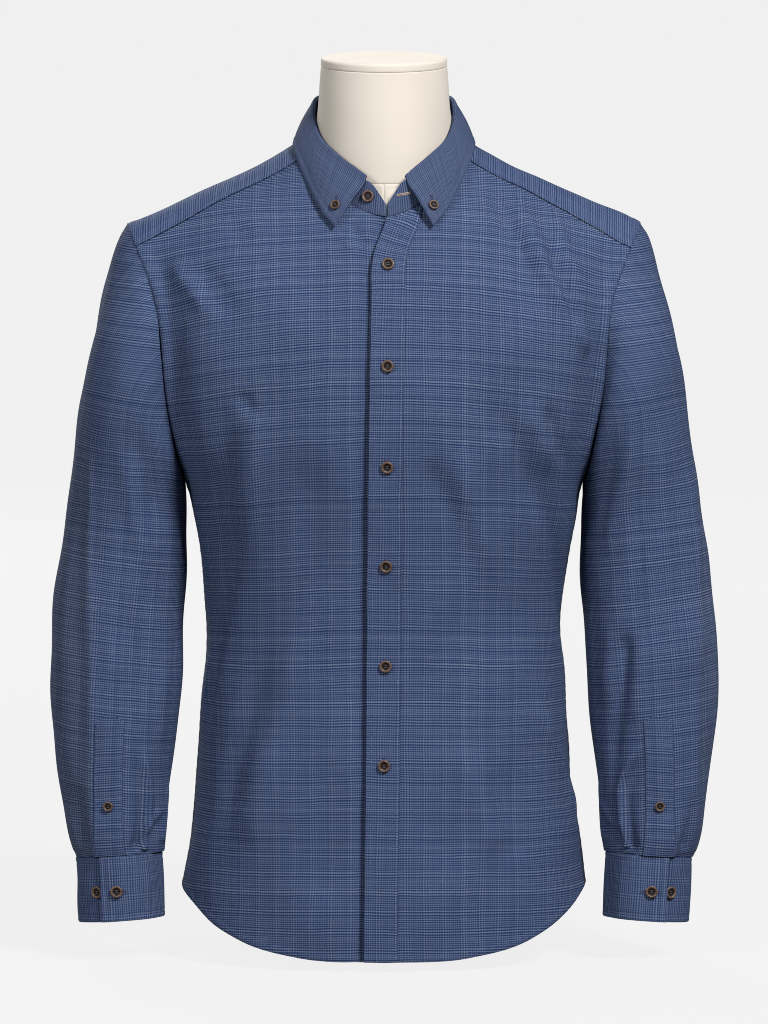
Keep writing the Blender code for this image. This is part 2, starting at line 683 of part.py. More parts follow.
def material(slot):
    found = bpy.data.materials.get(slot)
    if found:
        return found
    made = bpy.data.materials.new(slot)
    made.use_nodes = True
    colour, rough, metallic = LOOKS[slot]
    shader = made.node_tree.nodes["Principled BSDF"]
    shader.inputs["Base Color"].default_value = (*colour, 1.0)
    shader.inputs["Roughness"].default_value = rough
    shader.inputs["Metallic"].default_value = metallic
    return made


def draw_in(grid, row=None, col=None, rows=slice(None)):
    """Moves one edge of a panel in by half the seam's gap."""
    if row is not None:
        towards = grid[1] - grid[0] if row == 0 else grid[-2] - grid[-1]
        grid[row] += unit(towards) * SEAM / 2
    if col is not None:
        beside = 1 if col == 0 else -2
        grid[rows, col] += unit(grid[rows, beside] - grid[rows, col]) * SEAM / 2


# ------------------------------------------------------------------ the pieces
def build_front(side):
    grid = front_panel(side)
    facing = body_normal(grid)
    neck_row, last = LOWER_ROWS + UPPER_ROWS, len(PLACKET_SHARES) - 1
    facing[neck_row, :last + 1] = neck_mitre(PLACKET_TURNS, side)
    facing[neck_row + 1:, last] = neck_mitre(NECK_TURNS, side)
    facing[LOWER_ROWS:, -1] = armhole_mitre(FRONT_ARM) * np.array([side, 1.0, 1.0])
    draw_in(grid, row=-1)
    draw_in(grid, col=-1, rows=slice(0, LOWER_ROWS))
    wall("front_" + side_word(side), grid - facing * CLOTH, grid, "shirting", kept=front_cloth())
    return grid


def build_placket(grid):
    """The band along the left front's edge, from the hem to the collar seam."""
    strip = grid[:LOWER_ROWS + UPPER_ROWS + 1, :len(PLACKET_SHARES)].copy()
    lift = body_normal(strip)
    strip[-1] += unit(strip[-2] - strip[-1]) * PLACKET_SHORT
    band = strip + lift * (LAYER_GAP + BAND)
    wall("placket", strip + lift * LAYER_GAP, band, "shirting")
    return band


def build_back():
    grid = back_panel()
    facing = body_normal(grid)
    mitres = armhole_mitre(BACK_ARM[::-1])
    facing[LOWER_ROWS:, -1] = mitres
    facing[LOWER_ROWS:, 0] = mitres * MIRROR
    draw_in(grid, row=-1)
    for col in (0, -1):
        draw_in(grid, col=col, rows=slice(0, LOWER_ROWS))
    wall("back", grid - facing * CLOTH, grid, "shirting")


def build_yoke():
    grid = yoke_panel()
    facing = body_normal(grid)
    turns = list(YOKE_NECK)
    facing[:len(turns), 0] = neck_mitre(turns, 1)
    facing[len(turns) - 1:, 0] = neck_mitre(turns, -1)[::-1]
    mitres = armhole_mitre(YOKE_ARM)
    facing[:len(mitres), -1] = mitres
    facing[-len(mitres):, -1] = (mitres * MIRROR)[::-1]
    draw_in(grid, row=0)
    draw_in(grid, row=-1)
    draw_in(grid, col=-1, rows=slice(YOKE_ROWS + 1, -YOKE_ROWS - 1))
    wall("yoke", grid - facing * CLOTH, grid, "shirting")


def build_sleeve(side):
    mirror = np.array([side, 1.0, 1.0])
    grid = sleeve_grid()
    facing = -grid_normals(grid, closed=True)
    facing[0] = armhole_mitre(sleeve_turns(1.0))
    inner = grid - facing * CLOTH
    grid[0, :, 0] += SEAM
    inner[0, :, 0] += SEAM
    wall("sleeve_" + side_word(side), inner * mirror, grid * mirror, "shirting", closed=True)
    return grid, facing


def build_gauntlet(side, grid, facing):
    """The sleeve placket: a strip with a pointed end, on the sleeve's slit."""
    mirror = np.array([side, 1.0, 1.0])
    first = len(grid) - len(SLEEVE_ROWS) + SLEEVE_ROWS.index(0.2235)
    strip, lift = grid[first:, STRIP_COLUMNS].copy(), facing[first:, STRIP_COLUMNS]
    point = strip[0, 1].copy()
    strip[0, 0] += (point - strip[0, 0]) * POINT_SHARE
    strip[0, 2] += (point - strip[0, 2]) * POINT_SHARE
    under = (strip + lift * LAYER_GAP) * mirror
    over = (strip + lift * (LAYER_GAP + BAND)) * mirror
    wall("gauntlet_" + side_word(side), under, over, "shirting")


def build_cuff(side):
    mirror = np.array([side, 1.0, 1.0])
    grid = cuff_grid()
    facing = -grid_normals(grid)
    wall("cuff_" + side_word(side), (grid - facing * DOUBLE) * mirror, grid * mirror, "shirting")


def build_collar():
    turns = PLACKET_TURNS + NECK_TURNS + list(YOKE_NECK[1:])
    base, top = [], []
    for side in (1, -1):
        base.append(neckline(turns, side))
        top.append(stand_top(turns, side))
    base = np.concatenate([base[0], base[1][::-1][1:]])
    top = np.concatenate([top[0], top[1][::-1][1:]])
    rise = unit(top - base)
    covered = np.array([turn >= LEAF_TURN for turn in turns + turns[-2::-1]])[:, None]
    stand = np.array([base + rise * SEAM, (base + top) / 2, top - rise * STAND_SHORT * covered])
    facing = grid_normals(stand)
    wall("collar_stand", stand - facing * DOUBLE / 2, stand + facing * DOUBLE / 2, "shirting")
    build_leaf(turns)


def leaf_fold(turns, side):
    """Under the leaf: the stand's top edge, its rise and the way out from the neck."""
    top = stand_top(turns, side)
    rise = unit(top - neckline(turns, side))
    along = stand_top(np.asarray(turns) + 0.5, side) - stand_top(np.asarray(turns) - 0.5, side)
    return top, rise, unit(np.cross(along, rise)) * side


def leaf_face(turns, side, t):
    """The leaf's face between the fold, where t is 0, and its outer edge, where t is 1."""
    turns = np.asarray(turns, float)
    top, rise, out = leaf_fold(turns, side)
    shares = (turns - LEAF_TURN) / (180.0 - LEAF_TURN)
    edge = onto_body(columns(LEAF, (1, 2, 3), shares) * np.array([side, 1.0, 1.0]))
    edge = edge + body_normal(edge) * column(LEAF, 4, shares)[:, None]
    shoulder = top + out * FOLD_OUT - rise * FOLD_DROP
    return shoulder + (edge - shoulder) * t + out * (LEAF_ROLL * 4 * t * (1 - t))


def build_leaf(turns):
    turns = np.array([t for t in turns if t >= LEAF_TURN])
    halves = []
    for side in (1, -1):
        top, rise, out = leaf_fold(turns, side)
        crest = top + rise * FOLD_RISE
        rows = [crest - out * DOUBLE / 2, crest + out * DOUBLE]
        rows += [leaf_face(turns, side, t) for t in (0.0, 0.30, 0.62, 1.0)]
        halves.append(np.array(rows))
    grid = np.concatenate([halves[0], halves[1][:, ::-1][:, 1:]], axis=1)
    facing = -grid_normals(grid)
    wall("collar_leaf", grid - facing * DOUBLE, grid, "shirting")


# ------------------------------------------------------------------ buttons
def build_button(name, centre, facing, radius):
    """A turned button with a thick rim and a dished middle, flat on its back."""
    profile = [
        # share of the radius, share of the thickness
        (0.00, 0.0), (0.80, 0.0), (1.00, 0.35), (0.97, 0.80), (0.82, 1.0),
        (0.66, 0.86), (0.52, 0.45), (0.30, 0.36), (0.00, 0.36),
    ]
    facing = unit(np.asarray(facing, float))
    across = unit(np.cross([0.0, 0.0, 1.0], facing))
    up = np.cross(facing, across)
    sides = 16
    spin = np.arange(sides) * 2 * math.pi / sides
    spokes = np.cos(spin)[:, None] * across + np.sin(spin)[:, None] * up
    rings = [centre + spokes * radius * r + facing * BUTTON_THICK * h for r, h in profile[1:-1]]
    points = np.concatenate([*rings, [centre], [centre + facing * BUTTON_THICK * profile[-1][1]]])
    back, front = len(points) - 2, len(points) - 1
    faces = []
    for k in range(sides):
        nxt = (k + 1) % sides
        for i in range(len(rings) - 1):
            faces.append([i * sides + k, i * sides + nxt, (i + 1) * sides + nxt, (i + 1) * sides + k])
        faces.append([back, nxt, k])
        faces.append([front, (len(rings) - 1) * sides + k, (len(rings) - 1) * sides + nxt])
    add_mesh(name, points, faces, "button")


def build_front_buttons(band):
    """On the placket, whose outer face is the grid of points band."""
    lines = band.swapaxes(0, 1)
    for number, (x, z) in enumerate(FRONT_BUTTONS, 1):
        across = np.array([[np.interp(z, line[:, 2], line[:, k]) for k in (0, 1)] for line in lines])
        seat = np.array([x, np.interp(x, *across.T), z])
        facing = body_normal(seat)
        build_button(f"front_button_{number}", seat + facing * BUTTON_GAP, facing, BUTTON_RADIUS)


def build_stand_button():
    """On the stand's right end, below the buttonhole that it is out of."""
    turn, share = STAND_BUTTON
    turns = np.array([turn - 1, turn, turn + 1])
    grid = np.array([neckline(turns, -1), stand_top(turns, -1)])
    facing = -grid_normals(grid)[0, 1]
    seat = grid[0, 1] + (grid[1, 1] - grid[0, 1]) * share
    build_button("stand_button", seat + facing * (DOUBLE / 2 + BUTTON_GAP), facing, BUTTON_RADIUS)


def build_collar_buttons():
    turn, share = COLLAR_BUTTON
    turns = np.array([turn - 2, turn, turn + 2])
    for side in (1, -1):
        grid = np.array([leaf_face(turns, side, t) for t in (share - 0.1, share, share + 0.1)])
        facing = -grid_normals(grid)[1, 1] * side
        seat = grid[1, 1] + facing * BUTTON_GAP
        build_button("collar_button_" + side_word(side), seat, facing, SMALL_RADIUS)


def build_sleeve_buttons(side):
    word = side_word(side)
    mirror = np.array([side, 1.0, 1.0])
    z = GAUNTLET_BUTTON_Z
    middle = np.interp(z, (SLEEVE_ROWS[-1], GAUNTLET_TOP_Z), GAUNTLET_TURNS)
    at = np.array([middle - 2, middle, middle + 2])
    grid = np.array([sleeve_ring(h, at, swell(at, h)) for h in (z + 0.004, z, z - 0.004)])
    facing = -grid_normals(grid)[1, 1]
    seat = grid[1, 1] + facing * (LAYER_GAP + BAND + BUTTON_GAP)
    build_button("gauntlet_button_" + word, seat * mirror, facing * mirror, SMALL_RADIUS)
    for level, turn in CUFF_BUTTON_TURNS.items():
        at = np.array([turn - 2, turn, turn + 2])
        top, foot = cuff_rows(at, CUFF_LIFT if level == "upper" else 0.0)
        facing = -grid_normals(np.array([top, foot]))[0, 1]
        seat = top[1] + (foot[1] - top[1]) * CUFF_BUTTON_SHARE + facing * BUTTON_GAP
        build_button(f"cuff_button_{level}_{word}", seat * mirror, facing * mirror, BUTTON_RADIUS)


# ------------------------------------------------------------------ the dress form
def form_level(points):
    """About how far points lie outside the dress form."""
    z = points[..., 2]
    half, front, back = (column(BODY, k, z) - column(FORM_EASE, k, z) for k in (1, 2, 3))
    trunk = section_level(points, half, front, back)
    shoulder = shoulder_level(points, SHOULDER_RADIUS - CLOTH - FORM_SHOULDER_GAP)
    solid = joined(trunk, shoulder, SHOULDER_BLEND)
    arm = np.abs(points[..., 0]) - (column(ARMHOLE, 1, z) - FORM_ARM_TRIM)
    solid = -joined(-solid, -arm, FORM_BLEND)
    neck_half, neck_depth, neck_y = (column(NECK, k, z) for k in (1, 2, 3))
    neck = section_neck(points, neck_half, neck_depth, neck_y)
    return joined(solid, neck, FORM_BLEND)


def section_neck(points, half, depth, centre_y):
    return (np.hypot(points[..., 0] / half, (points[..., 1] - centre_y) / depth) - 1) * depth


def build_form():
    heights = np.concatenate([
        [0.0, 0.015, 0.04, 0.075, 0.12], np.linspace(0.17, 0.50, 9),
        np.linspace(0.525, 0.625, 5), np.linspace(0.637, 0.745, 10), [0.760, 0.778, NECK_TOP_Z],
    ])
    sides = 28
    spin = np.arange(sides) * 2 * math.pi / sides
    spokes = points_at(np.sin(spin), -np.cos(spin), 0.0)
    rings = []
    for z in heights:
        axis = np.array([0.0, float(column(NECK, 3, max(z, NECK[0, 0]))), z])
        tilt = math.tan(math.radians(NECK_TOP_TILT)) * (z == NECK_TOP_Z)
        low, high = np.full(sides, 0.02), np.full(sides, 0.26)
        for _ in range(40):
            middle = (low + high) / 2
            at = axis + spokes * middle[:, None]
            outside = form_level(at) > 0
            high, low = np.where(outside, middle, high), np.where(outside, low, middle)
        ring = axis + spokes * ((low + high) / 2)[:, None]
        ring[:, 2] += (ring[:, 1] - axis[1]) * tilt
        rings.append(ring)
    add_closed_rings("form_torso", np.array(rings), "form_cover")


def add_closed_rings(name, rings, slot):
    """Rings of points as one closed solid with flat ends."""
    rows, sides = rings.shape[:2]
    faces = [list(range(sides)), list(range((rows - 1) * sides, rows * sides))[::-1]]
    for i in range(rows - 1):
        for k in range(sides):
            nxt = (k + 1) % sides
            faces.append([i * sides + k, (i + 1) * sides + k, (i + 1) * sides + nxt, i * sides + nxt])
    return add_mesh(name, rings.reshape(-1, 3), faces, slot)


def build_neck_cap():
    """The cap that closes the neck, tipped forward with its top."""
    half, depth, centre_y = (float(column(NECK, k, NECK_TOP_Z)) for k in (1, 2, 3))
    sides = 32
    spin = np.arange(sides) * 2 * math.pi / sides
    slope = math.tan(math.radians(NECK_TOP_TILT))
    rings = []
    for inset, rise in cap_profile():
        x, y = np.sin(spin) * (half - inset), -np.cos(spin) * (depth - inset)
        rings.append(points_at(x, y + centre_y, NECK_TOP_Z + SEAM + rise + y * slope))
    add_closed_rings("form_neck_cap", np.array(rings), "form_cover")


def cap_profile():
    """How far in and how high each ring of the cap lies."""
    bends = np.radians([0.0, 30.0, 60.0, 90.0])
    return [(0.0, 0.0)] + [
        (CAP_ROUND * (1 - math.cos(b)), CAP_THICK - CAP_ROUND * (1 - math.sin(b))) for b in bends
    ]


def clear_scene():
    for thing in list(bpy.data.objects):
        bpy.data.objects.remove(thing, do_unlink=True)


def main():
    clear_scene()
    for side in (1, -1):
        front = build_front(side)
        if side > 0:
            band = build_placket(front)
        sleeve, lift = build_sleeve(side)
        build_gauntlet(side, sleeve, lift)
        build_cuff(side)
        build_sleeve_buttons(side)
    build_back()
    build_yoke()
    build_collar()
    build_front_buttons(band)
    build_stand_button()
    build_collar_buttons()
    build_form()
    build_neck_cap()


main()
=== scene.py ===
"""Looks, camera and light for the long-sleeved dress shirt on its limbless dress form.

Metres, +Z up, the shirt's front faces -Y and left is the wearer's, at +X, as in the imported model.
Each piece of cloth is a thin shell on the form that its solid holds, with the folds of the worn shirt.
Its UV map, called grain, holds metres across the warp stripes and then across the weft stripes.
"""
import math

import bpy
import numpy as np
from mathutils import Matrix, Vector


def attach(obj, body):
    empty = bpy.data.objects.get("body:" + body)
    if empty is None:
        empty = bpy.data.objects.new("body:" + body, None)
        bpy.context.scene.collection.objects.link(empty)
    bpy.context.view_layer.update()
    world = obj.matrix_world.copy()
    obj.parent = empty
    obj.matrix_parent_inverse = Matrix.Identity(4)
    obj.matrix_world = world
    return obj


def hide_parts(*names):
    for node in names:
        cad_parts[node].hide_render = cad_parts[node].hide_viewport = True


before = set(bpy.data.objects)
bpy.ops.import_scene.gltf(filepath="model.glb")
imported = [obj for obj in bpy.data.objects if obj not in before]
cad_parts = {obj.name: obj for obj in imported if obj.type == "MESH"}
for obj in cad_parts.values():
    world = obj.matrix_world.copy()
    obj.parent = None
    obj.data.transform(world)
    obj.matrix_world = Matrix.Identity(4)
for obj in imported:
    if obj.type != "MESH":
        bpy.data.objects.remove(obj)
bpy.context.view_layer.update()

# ---- cloth
LAYER = 0.0008              # one layer of shirting
DOUBLE = 0.0018             # an interlined double layer: collar and stand
CUFF_THICK = 0.0017
BAND = 0.0009               # a folded band sewn on a panel
SEAM = 0.0003               # between two pieces at their seam
LAYER_GAP = 0.0003          # between a panel and what is sewn on it
STEP = 0.0031               # between two points of a panel
RIM_STEPS = np.array([0.0, 0.0007, 0.0014, 0.0024, 0.0037, 0.0052, 0.0066, 0.0076, 0.0088])   # beside an edge
FELL = 0.0075               # width of the felled armhole seam
SIDE_FELL = 0.0060
HEM_WIDTH = 0.0065
FELL_RISE, SIDE_RISE, HEM_RISE = 0.00045, 0.0003, 0.0005    # how far their turned-in cloth stands up
SEAM_SUNK, SEAM_SUNK_WIDE = 0.00055, 0.0011     # at a seam
ROW_SUNK, ROW_WIDE = 0.00022, 0.0011            # under a row of stitches
ROW_IN = 0.0012             # from the edge of the turned-in cloth to its row of stitches
YOKE_OVER, PANEL_UNDER = 0.0005, 0.0006         # at the yoke's seams: the yoke stands up, the others go under
YOKE_STEP = (0.0012, 0.0060)                    # and where that starts to fade and ends, off the seam
# along the edge of a doubled piece: how far in its row of stitches lies, how deep and wide that row's groove
# is, then the puckers' height, wave, reach and unevenness
CUFF_EDGE = (0.0050, 0.00035, 0.0009, 0.00014, 0.0087, 0.008, 1.7)
LEAF_EDGE = (0.0052, 0.00032, 0.0010, 0.00012, 0.0092, 0.009, 0.0)
EDGE_ROLL, EDGE_ROLL_WIDE = 0.0006, 0.0008      # how far the edge itself rolls off
LEAF_EDGE_RISE = (0.00025, 0.0040, 0.0052)      # the turned-in cloth inside the leaf's edge
STAND_EDGE, STAND_FOOT = (0.0004, 0.0007), (0.0003, 0.0012)

# ---- heights of the worn shirt
HEM_Z = 0.009
SIDE_HEM_Z = 0.063
ARMPIT_Z = 0.425
YOKE_BACK_Z = 0.640

# ---- the worn body: height, half width, front depth, back depth
BODY = np.array([
    (-0.020, 0.1850, 0.1300, 0.1240), (0.063, 0.1800, 0.1280, 0.1200), (0.102, 0.1757, 0.1260, 0.1160),
    (0.174, 0.1674, 0.1210, 0.1070), (0.246, 0.1622, 0.1170, 0.1000), (0.310, 0.1598, 0.1160, 0.0980),
    (0.355, 0.1634, 0.1190, 0.1020), (0.391, 0.1705, 0.1230, 0.1070), (0.425, 0.1785, 0.1270, 0.1120),
    (0.460, 0.1970, 0.1300, 0.1160), (0.500, 0.2100, 0.1310, 0.1190), (0.540, 0.2200, 0.1290, 0.1210),
    (0.580, 0.2260, 0.1220, 0.1200), (0.610, 0.2200, 0.1130, 0.1160), (0.640, 0.1950, 0.1010, 0.1080),
    (0.6665, 0.1550, 0.0850, 0.0970), (0.700, 0.0980, 0.0560, 0.0830), (0.725, 0.0680, 0.0400, 0.0700),
    (0.7455, 0.0590, 0.0320, 0.0590), (0.780, 0.0500, 0.0280, 0.0500),
])
BODY_SQUARE = 2.35
SHOULDER_AXIS = ((0.0450, 0.003, 0.6872), (0.2156, 0.003, 0.6108))
SHOULDER_RADIUS = 0.048
SHOULDER_REACH = 1.6
SHOULDER_BLEND = 0.030

# ---- the armhole: height, distance from the middle
ARMHOLE = np.array([
    (0.380, 0.1765), (0.425, 0.1785), (0.460, 0.1860), (0.500, 0.1930), (0.545, 0.1975),
    (0.590, 0.2025), (0.622, 0.2136), (0.6535, 0.2276), (0.690, 0.2460),
])
ARMHOLE_CENTRE_Z = 0.545
YOKE_FRONT_TURN = 158.0
YOKE_BACK_TURN = 218.0
YOKE_ARM_SHARE = 5 / 13     # of the neck's half, what the part of the yoke beside the armhole runs to
YOKE_ARM_STEPS, YOKE_BACK_STEPS = 34, 60

# ---- the collar: turn from the front, base x, y, z, top x, y, z, for one side
COLLAR = np.array([
    (0.0, 0.0005, -0.0850, 0.6665, 0.0005, -0.0835, 0.6765),
    (7.0, 0.0100, -0.0838, 0.6685, 0.0085, -0.0812, 0.6890),
    (16.0, 0.0220, -0.0800, 0.6730, 0.0170, -0.0765, 0.6990),
    (35.0, 0.0460, -0.0650, 0.6865, 0.0385, -0.0600, 0.7160),
    (58.0, 0.0630, -0.0370, 0.7030, 0.0564, -0.0370, 0.7330),
    (75.0, 0.0690, -0.0150, 0.7190, 0.0624, -0.0144, 0.7490),
    (90.0, 0.0705, 0.0040, 0.7300, 0.0624, 0.0045, 0.7615),
    (120.0, 0.0610, 0.0335, 0.7385, 0.0530, 0.0310, 0.7700),
    (150.0, 0.0360, 0.0525, 0.7415, 0.0300, 0.0485, 0.7745),
    (180.0, 0.0000, 0.0590, 0.7420, 0.0000, 0.0545, 0.7760),
    (210.0, -0.0360, 0.0525, 0.7415, -0.0300, 0.0485, 0.7745),
])
MEET_X = 0.0025             # the collar's ends meet this far to the left
MEET_REACH = 0.045
YOKE_NECK_TURN = 66.0
STAND_SHORT = 0.0016
STAND_OVER = 0.0005          # the stand's foot covers the neck seam
LEAF_TURN = 16.0
# share of the way round, edge x, y, z, height above the body cloth
LEAF = np.array([
    (0.00, 0.0440, -0.0985, 0.6600, 0.0062), (0.12, 0.0560, -0.0880, 0.6750, 0.0052),
    (0.24, 0.0655, -0.0710, 0.6890, 0.0044), (0.38, 0.0735, -0.0400, 0.7060, 0.0032),
    (0.52, 0.0765, -0.0040, 0.7220, 0.0028), (0.66, 0.0660, 0.0330, 0.7260, 0.0036),
    (0.84, 0.0400, 0.0600, 0.7320, 0.0036), (1.00, 0.0000, 0.0700, 0.7330, 0.0040),
    (1.16, -0.0400, 0.0600, 0.7320, 0.0036),
])
FOLD_RISE = 0.0022
FOLD_OUT = 0.0036
FOLD_DROP = 0.0040
LEAF_ROLL = 0.0016

# ---- centre front: height, x of the left front's edge, x of the right front's edge
MIDDLE_X = 0.002            # the placket's middle at the chest
PLACKET_WIDTH = 0.0295
PLACKET_SHORT = 0.0022
FRONT_EDGES = np.array([
    (-0.020, -0.0180, 0.0105), (0.145, -0.0160, 0.0125), (0.450, -0.0133, 0.0152), (0.600, -0.0108, 0.0170),
    (0.6244, -0.0104, 0.0120), (0.6400, -0.0068, 0.0030), (0.6520, -0.0020, -0.0036),
    (0.6600, 0.0012, -0.0002), (0.6700, 0.0036, 0.0024),
])
UNDER_DEPTH = 0.0028        # the right front dips under the left one, between these distances from its edge
UNDER_START = 0.020
UNDER_END = 0.003
UNDER_FADE = (0.6600, 0.6690)
GROOVE_DEEP, GROOVE_OUT, GROOVE_WIDE = 0.0030, 0.0012, 0.0056   # the groove beside the placket
UNDER_LEAP = 0.0040         # the right front reaches this far under the left one at least

# ---- the hem: distance from the middle, height above the lowest point
HEM = np.array([
    (0.000, 0.0000), (0.075, 0.0031), (0.131, 0.0170), (0.156, 0.0310), (0.172, 0.0450), (0.180, 0.0540),
])

# ---- the sleeve: height, centre x, y, half width, half depth, sideways tilt, forward tilt
SLEEVE = np.array([
    (0.0935, 0.2375, -0.0300, 0.0390, 0.0385, -4.0, 4.0), (0.1050, 0.2386, -0.0290, 0.0422, 0.0415, -4.0, 4.0),
    (0.1410, 0.2401, -0.0250, 0.0480, 0.0475, -4.0, 4.0), (0.1760, 0.2413, -0.0210, 0.0528, 0.0515, -3.0, 3.0),
    (0.2115, 0.2415, -0.0170, 0.0566, 0.0550, -2.0, 2.0), (0.2475, 0.2408, -0.0130, 0.0586, 0.0580, 0.0, 1.0),
    (0.3195, 0.2368, -0.0070, 0.0586, 0.0620, 3.0, 0.0), (0.3920, 0.2312, -0.0020, 0.0548, 0.0650, 5.0, 0.0),
])
SLEEVE_SIDES = 168
CUFF_SEAM_Z = 0.0935
CAP_FOOT_Z = 0.392
CAP_FLARE = np.array([
    # turn round the armhole, lean in degrees, how far it carries
    (0.0, 70.0, 1.05), (45.0, 62.0, 1.05), (90.0, 30.0, 1.05), (135.0, 2.0, 0.95), (180.0, -40.0, 0.76),
    (225.0, 2.0, 0.95), (270.0, 30.0, 1.05), (315.0, 62.0, 1.05), (360.0, 70.0, 1.05),
])
ARMHOLE_LEAN = 25.0

# ---- cuffs and sleeve plackets
CUFF_HEIGHT = 0.0580
CUFF_SHIFT = (-0.0030, -0.0036)
CUFF_END_TURN = 113.0
CUFF_OVERLAP = 50.0
CUFF_LIFT = 0.0047
CUFF_LIFT_TURN = 30.0
GAUNTLET_WIDTH = 0.0245
GAUNTLET_TOP_Z = 0.2230
GAUNTLET_POINT = 0.0085     # how far its corners lie below its point
GAUNTLET_TURNS = (99.0, 91.5)
GAUNTLET_TURNS_Z = (0.0935, 0.2215)
LIFT_TOP_Z = 0.145

# ---- buttons
BUTTON_RADIUS = 0.0055
SMALL_RADIUS = 0.0045
BUTTON_THICK = 0.0022
FRONT_BUTTONS = [(0.0036, 0.6244), (0.0031, 0.5364), (0.0027, 0.4476), (0.0018, 0.3595),
                 (0.0013, 0.2706), (0.0000, 0.1827)]
GAUNTLET_BUTTON_Z = 0.138
CUFF_BUTTON_TURNS = {"upper": 93.0, "under": 120.0}
CUFF_BUTTON_SHARE = 0.54
STAND_BUTTON = (12.5, 0.52)
COLLAR_BUTTON = (24.0, 0.70)
BUTTON_GAP = 0.0006
# the dish's darker resin is painted shade in the button's hollow
DISH = 0.57                 # the share of a button's radius that its dark dish takes
DISH_Z = 0.2                # and the share of its thickness that the dish stays above

# ---- the dress form: height, gap to the worn surface at the side, front and back
FORM_EASE = np.array([
    (0.000, 0.094, 0.066, 0.058), (0.040, 0.066, 0.046, 0.040), (0.100, 0.036, 0.028, 0.024),
    (0.180, 0.020, 0.018, 0.014), (0.280, 0.012, 0.012, 0.008), (0.400, 0.009, 0.009, 0.007),
    (0.460, 0.016, 0.009, 0.007), (0.560, 0.020, 0.008, 0.006), (0.610, 0.012, 0.008, 0.005),
    (0.650, 0.004, 0.007, 0.004), (0.700, 0.003, 0.006, 0.004), (0.800, 0.003, 0.006, 0.004),
])
FORM_SHOULDER_RADIUS = 0.0442
FORM_ARM_TRIM = 0.008
FORM_BLEND = 0.012
# height, half width, half depth, centre y
NECK = np.array([
    (0.560, 0.0640, 0.0620, -0.0040), (0.700, 0.0598, 0.0590, -0.0085), (0.754, 0.0588, 0.0578, -0.0105),
    (0.773, 0.0580, 0.0570, -0.0112), (0.810, 0.0553, 0.0553, -0.0125),
])
NECK_TOP_Z = 0.7975
NECK_TOP_TILT = 5.4
CAP_THICK = 0.0078
CAP_ROUND = 0.0030
CAP_CROWN = 0.0004
NECK_SEAM_Z = 0.694         # the cover's seam round the foot of the neck

SHALLOW, SPARE = 0.0022, 0.0016      # a trough levels out here, clear of the form under the cloth
LOWER_SPARE = 0.0036        # below the chest the form is further in
SPARE_Z = (0.52, 0.60)
CALM_FRONT = (0.012, 0.045)     # the small unevenness sets in at this distance from the placket
FOLD_GAIN = 2.4
SLEEVE_GAIN = 2.1
WAVE_GAIN = 1.9

